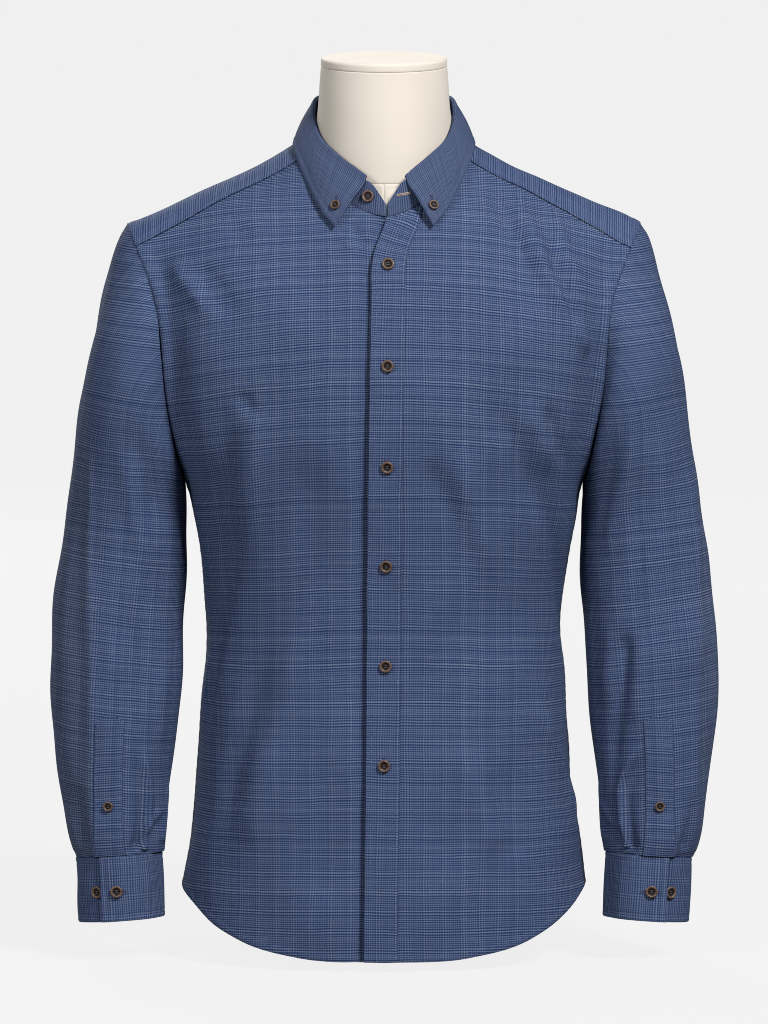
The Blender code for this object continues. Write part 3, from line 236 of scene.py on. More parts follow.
# ---- folds on the body: face (-1 front, 1 back), line of (x, z) in millimetres, how far it spreads to the
# left and right of its way, and its height, all in millimetres, then how much of each end fades
FOLDS = [
    # from the collar and the yoke down the left chest, and the light ridges between
    (-1, [(97, 694), (101, 684), (114, 650), (131, 605), (142, 570)], (9, 6), -1.9, (0.2, 0.4)),
    (-1, [(118, 684), (131, 645), (150, 603), (170, 566)], (7, 10), 1.9, (0.25, 0.3)),
    (-1, [(140, 655), (152, 622), (166, 588), (178, 556)], (6, 6), -1.7, (0.3, 0.3)),
    (-1, [(152, 668), (163, 628), (180, 596)], (6, 7), 1.3, (0.3, 0.3)),
    (-1, [(165, 578), (176, 560), (184, 540)], (8, 7), 2.2, (0.4, 0.4)),
    # the right front going in under the placket's top
    (-1, [(-36, 664), (-24, 651), (-12, 637)], (2.5, 5), -1.1, (0.3, 0.2)),
    (-1, [(-42, 655), (-32, 643), (-22, 630)], (5, 4), 0.8, (0.4, 0.4)),
    # the right chest, under the yoke and beside the armhole
    (-1, [(-194, 628), (-178, 612), (-160, 588), (-150, 566)], (9, 8), 1.8, (0.3, 0.4)),
    (-1, [(-168, 626), (-152, 606), (-136, 586), (-122, 575)], (9, 9), -1.8, (0.3, 0.4)),
    (-1, [(-140, 664), (-126, 650), (-112, 640)], (9, 10), -1.3, (0.4, 0.4)),
    # where the chest runs into the waist
    (-1, [(-128, 516), (-119, 500), (-112, 487)], (7, 6), -1.5, (0.4, 0.4)),
    (-1, [(-112, 512), (-115, 470), (-120, 420), (-126, 360)], (14, 12), 1.9, (0.25, 0.4)),
    (-1, [(-134, 500), (-139, 450), (-145, 395), (-150, 330)], (12, 12), -2.2, (0.3, 0.4)),
    (-1, [(98, 508), (108, 482), (126, 440), (144, 385)], (10, 11), -2.2, (0.25, 0.4)),
    (-1, [(122, 508), (138, 474), (150, 430)], (10, 9), 1.6, (0.3, 0.4)),
    (-1, [(143, 505), (154, 470), (164, 436)], (8, 8), -1.6, (0.3, 0.4)),
    (-1, [(56, 480), (72, 430), (88, 380), (104, 322)], (13, 13), 2.0, (0.25, 0.4)),
    (-1, [(36, 458), (52, 420), (68, 384)], (12, 10), -1.3, (0.35, 0.4)),
    (-1, [(-60, 470), (-66, 420), (-72, 350)], (15, 15), -1.1, (0.4, 0.4)),
    # the drape to the side seams and down to the tails
    (-1, [(-120, 425), (-140, 345), (-147, 302), (-154, 246), (-162, 190)], (9, 11), -2.4, (0.25, 0.3)),
    (-1, [(143, 430), (148, 395), (154, 356), (158, 318), (161, 270)], (10, 9), -2.1, (0.25, 0.3)),
    (-1, [(-66, 320), (-84, 252), (-104, 180), (-122, 102)], (16, 13), 2.1, (0.3, 0.15)),
    (-1, [(-96, 312), (-116, 240), (-134, 165), (-146, 110)], (13, 12), -1.8, (0.35, 0.25)),
    (-1, [(66, 210), (76, 176), (88, 140), (100, 98)], (14, 14), 1.7, (0.3, 0.2)),
    (-1, [(96, 200), (108, 150), (118, 90)], (12, 12), -1.4, (0.4, 0.2)),
    (-1, [(132, 242), (148, 205), (162, 168), (172, 120)], (8, 9), 1.6, (0.3, 0.2)),
    (-1, [(-36, 200), (-44, 130), (-52, 60)], (14, 14), -1.0, (0.4, 0.1)),
    (-1, [(42, 300), (44, 240), (50, 170)], (16, 16), -1.0, (0.4, 0.4)),
    (-1, [(-80, 610), (-76, 580), (-80, 545)], (18, 18), 0.8, (0.4, 0.4)),
    # the back: from the yoke, across the shoulder blades and into the waist
    (1, [(-104, 630), (-96, 570), (-84, 500), (-78, 430)], (14, 12), -2.2, (0.1, 0.4)),
    (1, [(96, 630), (92, 575), (84, 510), (74, 425)], (12, 15), -2.0, (0.1, 0.4)),
    (1, [(-128, 610), (-122, 540), (-112, 470), (-108, 400)], (13, 14), 1.7, (0.2, 0.4)),
    (1, [(126, 612), (124, 545), (112, 466), (104, 392)], (14, 13), 1.9, (0.2, 0.4)),
    (1, [(-18, 600), (-14, 520), (-20, 430)], (18, 15), 1.3, (0.3, 0.4)),
    (1, [(30, 590), (34, 510), (30, 440)], (14, 17), -1.2, (0.3, 0.4)),
    (1, [(-166, 520), (-150, 478), (-128, 440)], (8, 9), -1.8, (0.3, 0.4)),
    (1, [(164, 524), (150, 484), (132, 446)], (9, 8), -1.9, (0.3, 0.4)),
    (1, [(-150, 420), (-120, 380), (-84, 352), (-50, 340)], (9, 8), -1.6, (0.3, 0.4)),
    (1, [(152, 414), (124, 372), (90, 344), (58, 334)], (8, 10), -1.5, (0.3, 0.4)),
    (1, [(-152, 352), (-118, 326), (-76, 314)], (8, 8), 1.3, (0.3, 0.4)),
    (1, [(150, 346), (116, 318), (80, 306)], (8, 8), 1.4, (0.3, 0.4)),
    (1, [(-70, 330), (-78, 250), (-92, 160), (-104, 70)], (16, 14), 2.1, (0.3, 0.1)),
    (1, [(74, 330), (84, 250), (92, 160), (108, 76)], (14, 17), 1.9, (0.3, 0.1)),
    (1, [(-104, 290), (-116, 200), (-130, 100)], (13, 13), -1.9, (0.35, 0.2)),
    (1, [(108, 292), (122, 196), (134, 104)], (13, 12), -1.8, (0.35, 0.2)),
    (1, [(-20, 330), (-26, 220), (-34, 110), (-38, 40)], (16, 18), -1.5, (0.35, 0.1)),
    (1, [(26, 320), (30, 216), (36, 110), (40, 40)], (18, 15), 1.4, (0.35, 0.1)),
    (1, [(-150, 230), (-158, 170), (-164, 120)], (10, 9), 1.4, (0.4, 0.3)),
    (1, [(150, 236), (158, 176), (165, 122)], (9, 10), 1.5, (0.4, 0.3)),
]

# ---- folds on a sleeve: line of (turn, height), where a height under 0 is a share of the cap, then as above
SLEEVE_FOLDS = {
    -1: [
        ([(131, -0.62), (124, 0.385), (116, 0.330), (109, 0.240), (112, 0.170), (117, 0.100)],
         (4, 9), 1.1, (0.15, 0.1)),
        ([(140, -0.60), (134, 0.370), (127, 0.300), (121, 0.220), (126, 0.150)],
         (11, 12), -1.2, (0.2, 0.2)),
        ([(92, -0.55), (80, -0.95), (70, 0.372), (58, 0.318)], (11, 9), 1.9, (0.3, 0.4)),
        ([(78, -0.45), (62, -0.86), (52, 0.380)], (8, 9), -1.5, (0.3, 0.4)),
        ([(86, 0.330), (76, 0.290), (74, 0.216), (78, 0.180)], (9, 9), -1.6, (0.3, 0.4)),
        ([(96, 0.300), (92, 0.260), (90, 0.236)], (10, 9), 0.9, (0.4, 0.4)),
        ([(44, 0.280), (42, 0.225), (36, 0.180)], (9, 8), 1.3, (0.4, 0.3)),
        ([(62, 0.192), (58, 0.182), (52, 0.160), (50, 0.126), (55, 0.096)], (3.6, 3.6), 1.7, (0.25, 0.02)),
        ([(71, 0.188), (67, 0.178), (61, 0.158), (59, 0.126), (64, 0.096)], (4.5, 4.5), -1.1, (0.25, 0.02)),
        ([(44, 0.180), (38, 0.150), (37, 0.124), (44, 0.098)], (7, 7), -0.7, (0.3, 0.1)),
        ([(72, 0.178), (64, 0.150), (62, 0.122), (66, 0.098)], (4.5, 4.5), -1.2, (0.3, 0.05)),
        ([(80, 0.0955), (58, 0.104), (34, 0.117), (14, 0.124)], (5.5, 5.5), -0.8, (0.2, 0.3)),
        ([(60, 0.110), (38, 0.125), (20, 0.133)], (4, 4.5), 1.2, (0.3, 0.3)),
        ([(22, 0.100), (16, 0.128), (14, 0.165)], (5, 5), 1.2, (0.1, 0.4)),
        ([(128, 0.100), (132, 0.130), (134, 0.165)], (5, 6), -1.0, (0.1, 0.4)),
        ([(146, 0.098), (150, 0.122), (152, 0.150)], (5, 5), 0.9, (0.1, 0.4)),
        ([(232, 0.098), (226, 0.130), (222, 0.175)], (5, 6), -1.7, (0.05, 0.4)),
        ([(250, 0.098), (246, 0.140), (240, 0.190)], (6, 5), 1.6, (0.05, 0.4)),
        ([(292, 0.098), (296, 0.128), (300, 0.160)], (6, 6), -1.3, (0.05, 0.4)),
        ([(300, 0.330), (272, 0.300), (240, 0.290), (214, 0.296)], (8, 8), -1.8, (0.3, 0.3)),
        ([(306, 0.300), (276, 0.270), (244, 0.262)], (8, 8), 1.5, (0.3, 0.3)),
        ([(298, 0.372), (270, 0.345), (236, 0.336)], (8, 8), 1.3, (0.3, 0.3)),
        ([(268, -0.50), (282, -0.80), (300, 0.380), (318, 0.350)], (9, 9), -1.8, (0.3, 0.4)),
        ([(250, -0.52), (262, -0.86), (274, 0.370)], (10, 9), 1.4, (0.3, 0.4)),
        ([(206, -0.55), (208, 0.380), (204, 0.300), (210, 0.220)], (12, 12), 1.0, (0.3, 0.3)),
    ],
    1: [
        ([(152, -0.70), (148, 0.372), (142, 0.330), (133, 0.240), (136, 0.180), (150, 0.100)],
         (9, 4), 1.0, (0.2, 0.1)),
        ([(132, -0.60), (122, 0.360), (112, 0.300), (108, 0.250)], (12, 11), -0.9, (0.3, 0.3)),
        ([(96, -0.60), (90, -0.95), (84, 0.360), (74, 0.320), (68, 0.296)], (10, 9), -1.3, (0.3, 0.2)),
        ([(68, 0.300), (61, 0.250), (55, 0.214), (44, 0.172), (38, 0.150)], (8, 7), -2.1, (0.15, 0.3)),
        ([(84, 0.300), (76, 0.250), (70, 0.205)], (9, 9), 1.5, (0.3, 0.3)),
        ([(54, 0.310), (46, 0.262), (38, 0.220)], (8, 9), 1.5, (0.3, 0.4)),
        ([(82, -0.45), (66, -0.80), (56, 0.385), (48, 0.350)], (9, 8), 1.6, (0.3, 0.4)),
        ([(70, -0.40), (52, -0.72), (44, 0.388)], (8, 8), -1.4, (0.3, 0.4)),
        ([(74, 0.194), (68, 0.184), (61, 0.172), (53, 0.158), (51, 0.130), (58, 0.098)],
         (3.6, 3.6), 1.6, (0.2, 0.02)),
        ([(83, 0.190), (77, 0.180), (70, 0.168), (62, 0.156), (60, 0.130), (67, 0.098)],
         (4.5, 4.5), -1.1, (0.2, 0.02)),
        ([(46, 0.178), (40, 0.150), (38, 0.126), (46, 0.098)], (7, 7), -0.7, (0.3, 0.1)),
        ([(80, 0.176), (67, 0.150), (66, 0.120), (70, 0.098)], (6, 6), -0.7, (0.3, 0.05)),
        ([(82, 0.0955), (60, 0.103), (40, 0.112), (22, 0.121)], (5.5, 5.5), -0.8, (0.2, 0.3)),
        ([(46, 0.112), (30, 0.126), (16, 0.138)], (4, 4.5), 1.2, (0.3, 0.3)),
        ([(18, 0.100), (14, 0.130), (16, 0.170)], (5, 5), 1.2, (0.1, 0.4)),
        ([(130, 0.100), (136, 0.128), (138, 0.160)], (5, 6), -1.1, (0.1, 0.4)),
        ([(236, 0.098), (230, 0.132), (228, 0.180)], (6, 5), -1.6, (0.05, 0.4)),
        ([(254, 0.098), (252, 0.136), (246, 0.186)], (5, 6), 1.7, (0.05, 0.4)),
        ([(286, 0.098), (292, 0.130), (298, 0.166)], (6, 6), -1.2, (0.05, 0.4)),
        ([(302, 0.322), (270, 0.296), (242, 0.280), (218, 0.284)], (8, 8), -1.7, (0.3, 0.3)),
        ([(308, 0.292), (280, 0.266), (250, 0.252)], (8, 8), 1.6, (0.3, 0.3)),
        ([(296, 0.364), (268, 0.340), (238, 0.326)], (8, 8), 1.4, (0.3, 0.3)),
        ([(270, -0.50), (284, -0.82), (302, 0.376), (316, 0.346)], (9, 9), -1.7, (0.3, 0.4)),
        ([(252, -0.55), (262, -0.88), (270, 0.366)], (10, 9), 1.5, (0.3, 0.4)),
    ],
}

# ---- the cloth's own small unevenness: a direction, a wave's length, its start and its height, in metres
WAVES = [
    ((0.90, 0.20, 0.35), 0.083, 0.3, 0.00030), ((-0.45, 0.30, 0.84), 0.121, 1.7, 0.00035),
    ((0.62, -0.40, -0.67), 0.058, 4.1, 0.00018), ((0.15, 0.85, 0.50), 0.074, 2.6, 0.00025),
    ((-0.80, 0.10, 0.59), 0.041, 5.2, 0.00010), ((0.30, -0.75, 0.59), 0.049, 0.9, 0.00012),
]
VALLEY = (0.0062, 0.0150, 0.014)        # the trough beside the armhole: depth, width, how far off the seam
VALLEY_STARTS = (20.0, 60.0)            # degrees round the armhole from under the arm
VALLEY_FADES = ((0.4, 104.0, 122.0), (0.6, 136.0, 160.0))   # the share of it that goes, and where
SLEEVE_VALLEY = (-0.0018, 0.0110, 0.012)    # the sleeve is full there instead
PUCKER, PUCKER_WAVE, PUCKER_REACH = 0.00016, 0.0094, 0.0065     # along a seam
CAP_PUCKER, CAP_WAVE, CAP_AT = 1.6, 1.7, 0.006  # the sleeve's are this much higher and longer, this far off
CAP_SUNK, CAP_SUNK_WIDE = 0.0002, 0.0022        # the sleeve goes under the body's felled seam
CAP_CALM = 0.014            # a sleeve's folds reach their full height this far from the armhole

# ---- the check
REPEAT = 0.0168
# height, how much the weft hangs towards the sides
DROOP = np.array([
    (-0.02, 0.10), (0.10, 0.16), (0.25, 0.26), (0.40, 0.50), (0.55, 0.62), (0.66, 0.55), (0.80, 0.40),
])
CLUSTER_HALF = 0.0035       # from the start of a bold group to its middle
PLACKET_PHASE = 0.0078      # where the bold groups fall on the placket
SLEEVE_SLOPE = 0.13         # the sleeve's weft climbs outwards this much
SLEEVE_PHASE = 0.003        # where it starts

# ---- the view of the photograph
AIR = 0.13                  # light from all round
FLOOR_BOUNCE = 0.30         # what the floor gives back to the cloth
FLOOR_GLOW = (0.84, 0.87)   # light that the paper gives by itself, near and far
# name, place, where it points, size, watts
LIGHTS = [
    ("key", (2.4, -3.3, 4.1), (0, 0, 0.42), (1.3, 1.1), 525.0),
    ("fill", (-3.0, -3.4, 2.4), (0, 0, 0.38), (1.5, 1.5), 140.0),
    ("back", (-1.6, 4.4, 2.8), (0, 0, 0.40), (2.4, 2.0), 190.0),
]
CAMERA_AT = (0.0, 0.0, 0.398)       # the point that it looks at
CAMERA_FAR = 6.0
CAMERA_TURN_UP = 4.5        # degrees that it looks down
CAMERA_LENS = 235.0


# ---- small maths
def curve_between(t, start, leave, end, arrive):
    """From start to end as t goes from 0 to 1, leaving and arriving in these directions."""
    return (
        (2 * t**3 - 3 * t**2 + 1) * start + (t**3 - 2 * t**2 + t) * leave
        + (3 * t**2 - 2 * t**3) * end + (t**3 - t**2) * arrive
    )


def smooth(table_x, table_y, x):
    """A smooth curve through the rows of a table."""
    slopes = np.gradient(table_y, table_x)
    x = np.clip(x, table_x[0], table_x[-1])
    i = np.clip(np.searchsorted(table_x, x, side="right") - 1, 0, len(table_x) - 2)
    step = table_x[i + 1] - table_x[i]
    t = (x - table_x[i]) / step
    return curve_between(t, table_y[i], step * slopes[i], table_y[i + 1], step * slopes[i + 1])


def column(table, k, x):
    """Column k of a table, read smoothly at x of its first column."""
    return smooth(table[:, 0], table[:, k], np.asarray(x, float))


def columns(table, ks, x):
    return np.stack([column(table, k, x) for k in ks], axis=-1)


def ease(x, low, high):
    """0 below low, 1 above high, with a soft change between."""
    t = np.clip((np.asarray(x, float) - low) / (high - low), 0.0, 1.0)
    return t * t * (3 - 2 * t)


def bell(x, width):
    """1 at 0, falling softly to nothing on both sides."""
    return np.exp(-((x / width) ** 2))


def unit(vectors):
    return vectors / np.maximum(np.linalg.norm(vectors, axis=-1, keepdims=True), 1e-12)


def points_at(x, y, z):
    return np.stack(np.broadcast_arrays(x, y, z), axis=-1).astype(float)


def along(line):
    """How far each point of a line, or of each row of a grid, is from its first one."""
    steps = np.linalg.norm(np.diff(line, axis=-2), axis=-1)
    return np.concatenate([np.zeros((*steps.shape[:-1], 1)), np.cumsum(steps, axis=-1)], axis=-1)


def spaced(line, marks):
    """The line's points at these shares of its length."""
    far = along(line)
    want = np.asarray(marks) * far[-1]
    return np.stack([np.interp(want, far, line[:, k]) for k in range(line.shape[1])], axis=-1)


def through(points, count=24):
    """A soft curve through a few points."""
    points = np.asarray(points, float)
    far = along(points)
    want = np.linspace(0, far[-1], count)
    return np.stack([smooth(far, points[:, k], want) for k in range(points.shape[1])], axis=-1)


def edge_marks(length, step, start=False, end=False):
    """Shares of a length in even steps, closer together at the ends that have a seam or a hem."""
    low, high = (RIM_STEPS[-1] if start else 0.0), (length - RIM_STEPS[-1] if end else length)
    marks = [np.linspace(low, high, max(2, round((high - low) / step) + 1))]
    if start:
        marks.insert(0, RIM_STEPS[:-1])
    if end:
        marks.append(length - RIM_STEPS[-2::-1])
    return np.concatenate(marks) / length


def bent(marks, corner):
    """The marks moved so that one of them falls on a corner, which is a share too."""
    k = np.argmin(np.abs(marks - corner))
    return np.interp(marks, [0.0, marks[k], 1.0], [0.0, corner, 1.0])


def grid_normals(grid, closed=False):
    if closed:
        across = np.roll(grid, -1, axis=1) - np.roll(grid, 1, axis=1)
    else:
        across = np.gradient(grid, axis=1)
    return unit(np.cross(across, np.gradient(grid, axis=0)))


def sampled(grid, rows, cols):
    """A grid of points or values read between its own places."""
    rows, cols = np.broadcast_arrays(np.asarray(rows, float), np.asarray(cols, float))
    rows = np.clip(rows, 0, grid.shape[0] - 1.0001)
    cols = np.clip(cols, 0, grid.shape[1] - 1.0001)
    a, b = rows.astype(int), cols.astype(int)
    s, t = (rows - a)[..., None], (cols - b)[..., None]
    return (
        grid[a, b] * (1 - s) * (1 - t) + grid[a + 1, b] * s * (1 - t)
        + grid[a, b + 1] * (1 - s) * t + grid[a + 1, b + 1] * s * t
    )


def mirrored(side):
    return np.array([side, 1.0, 1.0])


def side_word(side):
    return "left" if side > 0 else "right"


# ---- the worn surface
def section_level(points, half, front, back):
    """About how far points lie outside a rounded, slightly square section."""
    x, y = np.abs(points[..., 0]), points[..., 1]
    depth = np.where(y < 0, front, back)
    size = ((x / half) ** BODY_SQUARE + (np.abs(y) / depth) ** BODY_SQUARE) ** (1 / BODY_SQUARE)
    return (np.hypot(x, y) + 1e-9) * (1 - 1 / (size + 1e-9))


def shoulder_level(points, radius):
    start, end = np.array(SHOULDER_AXIS)
    way = end - start
    from_start = np.abs(points) * [1, 0, 0] + points * [0, 1, 1] - start
    share = np.clip(from_start @ way / (way @ way), 0, SHOULDER_REACH)
    return np.linalg.norm(from_start - share[..., None] * way, axis=-1) - radius


def joined(a, b, blend):
    """Two levels as one body, with a soft corner between them."""
    near = np.maximum(blend - np.abs(a - b), 0) / blend
    return np.minimum(a, b) - near**2 * blend / 4


def body_level(points):
    """About how far points lie outside the worn surface; negative inside it."""
    z = points[..., 2]
    trunk = section_level(points, *(column(BODY, k, z) for k in (1, 2, 3)))
    return joined(trunk, shoulder_level(points, SHOULDER_RADIUS), SHOULDER_BLEND)


def slope_of(points):
    """Which way the surface faces, from the level a little to both sides."""
    step = 2e-5
    return np.stack([
        (body_level(points + step * axis) - body_level(points - step * axis)) / (2 * step)
        for axis in np.eye(3)
    ], axis=-1)


def onto_body(points):
    """Points moved straight in or out to the worn surface."""
    points = np.array(points, float)
    for _ in range(14):
        slope = slope_of(points)
        steep = np.maximum((slope**2).sum(-1), 0.2)
        points = points - slope * (body_level(points) / steep)[..., None]
    return points


def body_normal(points):
    return unit(slope_of(points))


def cast(place, low, high, level=body_level):
    """How far out a surface lies, where place gives the point at each reach."""
    for _ in range(26):
        middle = (low + high) / 2
        outside = level(place(middle)) > 0
        high, low = np.where(outside, middle, high), np.where(outside, low, middle)
    return place((low + high) / 2)


def on_face(x, z, face):
    x, z = np.broadcast_arrays(np.asarray(x, float), np.asarray(z, float))
    return cast(lambda reach: points_at(x, face * reach, z), np.zeros(x.shape), np.full(x.shape, 0.17))


def at_turn(turns, z):
    """The worn surface straight out from the middle, at turns from the front and heights."""
    turns, z = np.broadcast_arrays(np.radians(turns), np.asarray(z, float))
    return cast(
        lambda reach: points_at(np.sin(turns) * reach, -np.cos(turns) * reach, z),
        np.full(z.shape, 0.01), np.full(z.shape, 0.26),
    )


def turn_and_height(points):
    turns = np.degrees(np.arctan2(points[..., 0], -points[..., 1]))
    return np.stack([turns, points[..., 2]], axis=-1)


def armhole_points(turns):
    """The left armhole's seam: 0 is under the arm, 90 in front, 180 on top and 270 behind."""
    turns = np.radians(np.asarray(turns, float))

    def place(reach):
        z = ARMHOLE_CENTRE_Z - np.cos(turns) * reach
        return points_at(column(ARMHOLE, 1, z), -np.sin(turns) * reach, z)

    return cast(place, np.full(turns.shape, 0.02), np.full(turns.shape, 0.135))


def giving_way(points):
    """The collar's front moved a little to the left, where its ends meet."""
    moved = points.copy()
    moved[..., 0] += MEET_X * (1 - ease(np.abs(points[..., 0]), 0, MEET_REACH)) * (points[..., 1] < 0)
    return moved


def neckline(turns, side):
    return onto_body(giving_way(columns(COLLAR, (1, 2, 3), turns) * mirrored(side)))


def stand_top(turns, side):
    return giving_way(columns(COLLAR, (4, 5, 6), turns) * mirrored(side))


def laid_rows(inner, outer, shares, bulge):
    """Rows of points from inner to outer ends, pushed outwards and then laid on the worn surface."""
    t = np.asarray(shares)[None, :, None]
    push = unit((inner + outer) / 2 * np.array([1.0, 1.0, 0.0]))
    rows = inner[:, None] + (outer - inner)[:, None] * t
    rows = onto_body(rows + push[:, None] * (4 * t * (1 - t) * bulge))
    rows[:, 0], rows[:, -1] = inner, outer
    return rows


def front_yoke_seam(side, count=60):
    start = neckline([YOKE_NECK_TURN], side)
    end = armhole_points([YOKE_FRONT_TURN]) * mirrored(side)
    return laid_rows(start, end, np.linspace(0, 1, count), 0.0)[0]


def back_yoke_seam(shares):
    end = armhole_points([YOKE_BACK_TURN])[0]
    drop = (YOKE_BACK_Z - end[2]) * shares**2
    seam = on_face(end[0] * shares, YOKE_BACK_Z - drop, 1)
    seam[-1] = end
    return seam


# ---- folds and seams
def reach_of(grid, facing, line, limit=0.05):
    """How far points are from a line, how far along it, and on which side of it, -1 or 1."""
    points, normals = grid.reshape(-1, 3), facing.reshape(-1, 3)
    best = np.full(len(points), 9.0)
    share, side = np.zeros(len(points)), np.ones(len(points))
    low, high = line.min(axis=0) - limit, line.max(axis=0) + limit
    close = np.flatnonzero(((points > low) & (points < high)).all(axis=1))
    box = points[close]
    starts = along(line)
    for a, b, start in zip(line[:-1], line[1:], starts):
        way = b - a
        size = max(np.linalg.norm(way), 1e-9)
        at = close[(np.abs(box - (a + b) / 2) < size / 2 + limit).all(axis=1)]
        t = np.clip((points[at] - a) @ way / size**2, 0, 1)
        off = points[at] - a - t[:, None] * way
        apart = np.sqrt((off * off).sum(-1))
        near = apart < best[at]
        at, off, t = at[near], off[near], t[near]
        best[at] = apart[near]
        share[at] = start + t * size
        side[at] = np.where((np.cross(normals[at], way) * off).sum(-1) < 0, -1.0, 1.0)
    return [found.reshape(grid.shape[:-1]) for found in (best, share, side)]


def crease(points, normals, line, spread, height, fade):
    """The height of one fold over a surface; its spread and its height are in millimetres."""
    apart, far, side = reach_of(points, normals, line, 0.0028 * max(spread))
    width = np.where(side < 0, spread[0], spread[1]) / 1000
    share = far / along(line)[-1]
    ends = ease(share, 0, fade[0] + 1e-6) * (1 - ease(share, 1 - fade[1] - 1e-6, 1))
    return height / 1000 * bell(apart, width) * ends


def waves(points, scale=1.0):
    """The cloth's own small unevenness."""
    total = np.zeros(points.shape[:-1])
    for way, length, start, height in WAVES:
        total += height * np.sin(points @ np.array(way) * 2 * math.pi / length + start)
    return total * scale * WAVE_GAIN


def felled(points, normals, line, width, rise):
    """A seam's turned-in cloth: raised as wide as the seam, sunk at the seam itself, and a little puckered."""
    apart, far, _ = reach_of(points, normals, line, 0.03)
    raised = rise * (1 - ease(apart, width - 0.0010, width + 0.0008))
    sunk = SEAM_SUNK * bell(apart, SEAM_SUNK_WIDE)
    stitch = ROW_SUNK * bell(apart - width + ROW_IN, ROW_WIDE)
    swing = np.sin(2 * math.pi * far / PUCKER_WAVE + 2.2 * np.sin(far * 71.0))
    return raised - sunk - stitch + PUCKER * swing * bell(apart - width, PUCKER_REACH)


def valley(points, normals, line, shape):
    """The soft trough along an armhole, deepest in front of the arm and behind it."""
    deep, wide, middle = shape
    apart, far, _ = reach_of(points, normals, line, 3 * wide)
    turn = 360 * far / along(line)[-1]
    turn = np.minimum(turn, 360 - turn)
    held = 1 - sum(gone * ease(turn, low, high) for gone, low, high in VALLEY_FADES)
    held = held * ease(turn, *VALLEY_STARTS)
    return -deep * held * ease(apart, 0.0, middle) * bell(apart - middle, wide)


def body_folds(points, normals):
    """The height of the body's folds over the worn surface."""
    total = waves(points) * ease(np.abs(points[..., 0] - MIDDLE_X), *CALM_FRONT)
    for face, marks, spread, height, fade in FOLDS:
        marks = np.array(marks) / 1000
        line = through(on_face(marks[:, 0], marks[:, 1], face))
        total += crease(points, normals, line, spread, height * FOLD_GAIN, fade)
    return total


def stitched_edge(apart, far, shape):
    """A doubled piece's edge: rolled off, with the groove and the puckers of its row of stitches."""
    row, sunk, wide, pucker, wave, reach, uneven = shape
    swing = np.sin(2 * math.pi * far / wave + uneven * np.sin(far * 90.0))
    puckers = pucker * swing * bell(apart, reach)
    return puckers - sunk * bell(apart - row, wide) - EDGE_ROLL * bell(apart, EDGE_ROLL_WIDE)


def under_the_placket(points):
    """How far the right front lies below the left one."""
    x, z = points[..., 0], points[..., 2]
    edge = column(FRONT_EDGES, 1, z)
    beside = GROOVE_DEEP * bell(x - edge + GROOVE_OUT, GROOVE_WIDE)
    dip = UNDER_DEPTH * ease(x, edge - UNDER_START, edge - UNDER_END)
    return (dip + beside) * (1 - ease(z, *UNDER_FADE))


# ---- the cloth's grain
def arc_table(place, levels, angles):
    """How far round the surface lies from the first angle, at each level."""
    return along(place(angles[None, :], levels[:, None]))


def read_table(table, levels, angles, at_level, at_angle):
    rows = (at_level - levels[0]) / (levels[1] - levels[0])
    cols = (at_angle - angles[0]) / (angles[1] - angles[0])
    return sampled(table[..., None], rows, cols)[..., 0]


LEVELS = np.linspace(-0.02, 0.78, 161)
TURNS = np.linspace(0, 92, 93)
ROUND = {
    -1: arc_table(at_turn, LEVELS, TURNS),
    1: arc_table(lambda turns, z: at_turn(180 - turns, z), LEVELS, TURNS),
}
RISE_X = 0.080              # the weft's height is measured up the panel this far from the middle
RISE_Z = np.linspace(-0.02, 0.69, 240)
RISES = {face: along(on_face(RISE_X, RISE_Z, face)) + RISE_Z[0] for face in (-1, 1)}
RISE_ABOVE = 1.5            # how fast it climbs past the top of that line
SQUARE_UP_Z = (0.53, 0.64)  # above this the warp runs straight up
SQUARE_ARC_Z = 0.60         # and keeps the spacing that it has here, out to this many degrees
SQUARE_TURNS = 60


def body_grain(points, face):
    """Metres across the warp stripes and across the weft stripes, on a front or the back."""
    x, z = points[..., 0], points[..., 2]
    turns = np.abs(turn_and_height(points)[..., 0])
    turns = turns if face < 0 else 180 - turns
    level = read_table(ROUND[face], LEVELS, TURNS, z, turns)
    k = int(np.argmin(np.abs(LEVELS - SQUARE_ARC_Z)))
    out_x = np.abs(at_turn(TURNS if face < 0 else 180 - TURNS, LEVELS[k])[:, 0])[:SQUARE_TURNS]
    arcs = ROUND[face][k, :SQUARE_TURNS]
    slope = (arcs[-1] - arcs[-6]) / (out_x[-1] - out_x[-6])
    upright = np.interp(np.abs(x), out_x, arcs) + np.maximum(np.abs(x) - out_x[-1], 0) * slope
    up = ease(z, *SQUARE_UP_Z)
    rise = np.interp(z, RISE_Z, RISES[face]) + np.maximum(z - RISE_Z[-1], 0) * RISE_ABOVE
    weft = rise + column(DROOP, 1, z) * x**2
    return np.stack([np.sign(x) * (level * (1 - up) + upright * up), weft], axis=-1)


OVER = np.linspace(-125, 125, 126)
OVER_X = np.linspace(0.0, 0.26, 53)
OVER_BACK = 95.0            # the yoke's stripes are counted from this angle behind
OVER_SINK = 0.020           # the middle of the turn lies this far under the shoulder's axis
SHOULDER_DROP = (SHOULDER_AXIS[1][2] - SHOULDER_AXIS[0][2]) / (SHOULDER_AXIS[1][0] - SHOULDER_AXIS[0][0])


def over_axis(x):
    return SHOULDER_AXIS[0][2] + (x - SHOULDER_AXIS[0][0]) * SHOULDER_DROP - OVER_SINK


def over_shoulder(angles, x):
    """The worn surface seen from inside a shoulder: angle 0 is up, and 90 is back."""
    angles, x = np.broadcast_arrays(np.radians(angles), np.asarray(x, float))
    middle_y = SHOULDER_AXIS[0][1]
    return cast(
        lambda reach: points_at(x, middle_y + np.sin(angles) * reach, over_axis(x) + np.cos(angles) * reach),
        np.full(x.shape, 0.004), np.full(x.shape, 0.17),
    )


